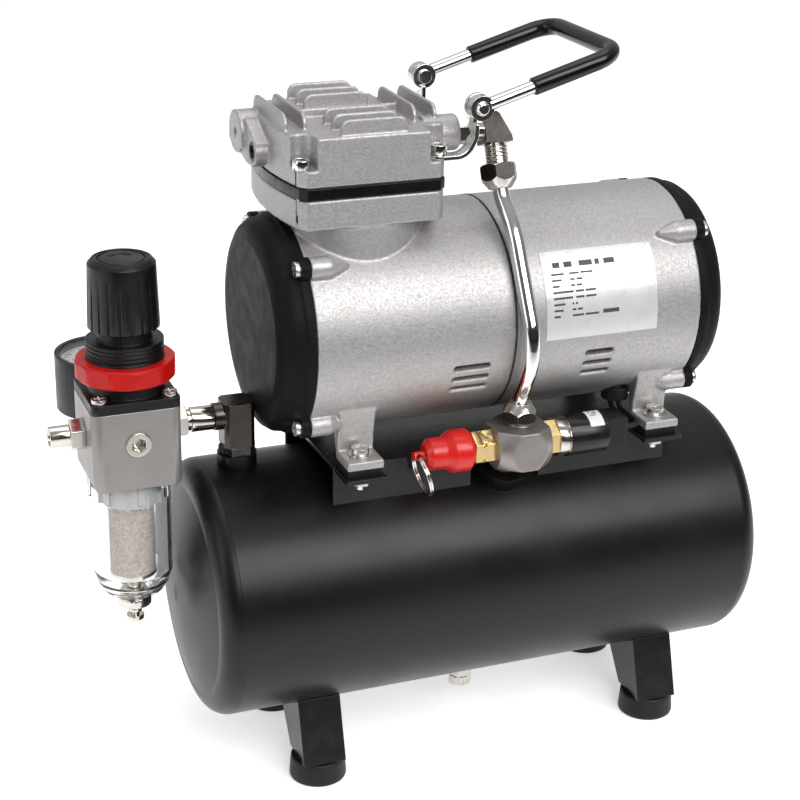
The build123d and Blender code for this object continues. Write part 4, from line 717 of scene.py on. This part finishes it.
def build_floor():
    """A white table with painted light: it glows under and behind the machine and is painted dark toward the
    front, outside the picture.
    """
    bm = bmesh.new()
    bmesh.ops.create_circle(bm, cap_ends=True, segments=96, radius=9.0)
    mesh = bpy.data.meshes.new("floor")
    bm.to_mesh(mesh)
    bm.free()
    floor = bpy.data.objects.new("floor", mesh)
    bpy.context.scene.collection.objects.link(floor)
    floor.location = (0, 0, cad_low.z - 0.0002)
    paint = Paint("floor_pale")
    split = paint.node("ShaderNodeSeparateXYZ")
    paint.link(paint.place, split.inputs["Vector"])
    # Share of painted light on the floor: painted dark in front, white and glowing under and behind the
    # machine.
    painted_glow_share = paint.ramp(split.outputs["Y"], 0.0, 1.0, -0.65, -0.16)
    white = paint.mix(paint.ramp(paint.noise(700.0), 0, 1), (0.90, 0.90, 0.90), (0.92, 0.92, 0.92))
    paint.set("Base Color", paint.mix(painted_glow_share, (0.020, 0.020, 0.020), white))
    paint.set("Roughness", 0.9)
    paint.set("Specular IOR Level", 0.2)
    # The floor's emission is painted light that brightens the floor and the shadows under the machine.
    paint.shader.inputs["Emission Color"].default_value = (1, 1, 1, 1)
    paint.set("Emission Strength", paint.ramp(painted_glow_share, 0.0, 0.5, 0.0, 1.0))
    floor.data.materials.append(paint.material)


def build_lights():
    world = bpy.data.worlds.new("studio")
    world.use_nodes = True
    bpy.context.scene.world = world
    # A studio that is dark in front and brighter overhead and behind.
    tree = world.node_tree
    toward = tree.nodes.new("ShaderNodeVectorMath")
    toward.operation = "DOT_PRODUCT"
    toward.inputs[1].default_value = (0.0, 0.55, 0.83)
    tree.links.new(tree.nodes.new("ShaderNodeTexCoord").outputs["Generated"], toward.inputs[0])
    climb = tree.nodes.new("ShaderNodeMapRange")
    climb.inputs["From Min"].default_value = -0.25
    climb.inputs["From Max"].default_value = 0.85
    climb.inputs["To Min"].default_value = 0.03
    climb.inputs["To Max"].default_value = 0.60
    tree.links.new(toward.outputs["Value"], climb.inputs["Value"])
    tree.links.new(climb.outputs["Result"], tree.nodes["Background"].inputs["Strength"])
    tree.nodes["Background"].inputs["Color"].default_value = (1.0, 1.0, 1.0, 1.0)
    target = (0.0, 0.0, 0.16)
    area_light("key", (0.30, -1.40, 1.18), target, 1.7, 0.90, 30)
    area_light("top", (0.0, 0.2, 1.8), target, 1.6, 1.2, 9)
    area_light("left", (-1.6, -0.3, 0.8), target, 0.6, 1.2, 4)


def build_camera():
    """A long lens from the front left, a little above the machine."""
    data = bpy.data.cameras.new("camera")
    data.lens = 83.7
    data.sensor_width = 36.0
    camera = bpy.data.objects.new("camera", data)
    bpy.context.scene.collection.objects.link(camera)
    forward = Vector((0.34191, 0.86092, -0.37671)).normalized()
    level = Vector((forward.y, -forward.x, 0)).normalized()
    upright = level.cross(forward)
    roll = math.radians(1.13)
    right = level * math.cos(roll) + upright * math.sin(roll)
    up = upright * math.cos(roll) - level * math.sin(roll)
    place = Vector((MOTOR.x, MOTOR.y, 0)) + Vector((-0.33024, -0.74342, 0.49470))
    rotation = Matrix((right, up, -forward)).transposed().to_4x4()
    camera.matrix_world = Matrix.Translation(place) @ rotation
    bpy.context.scene.camera = camera


build_floor()
build_lights()
build_camera()
bpy.context.scene.view_settings.view_transform = "Standard"
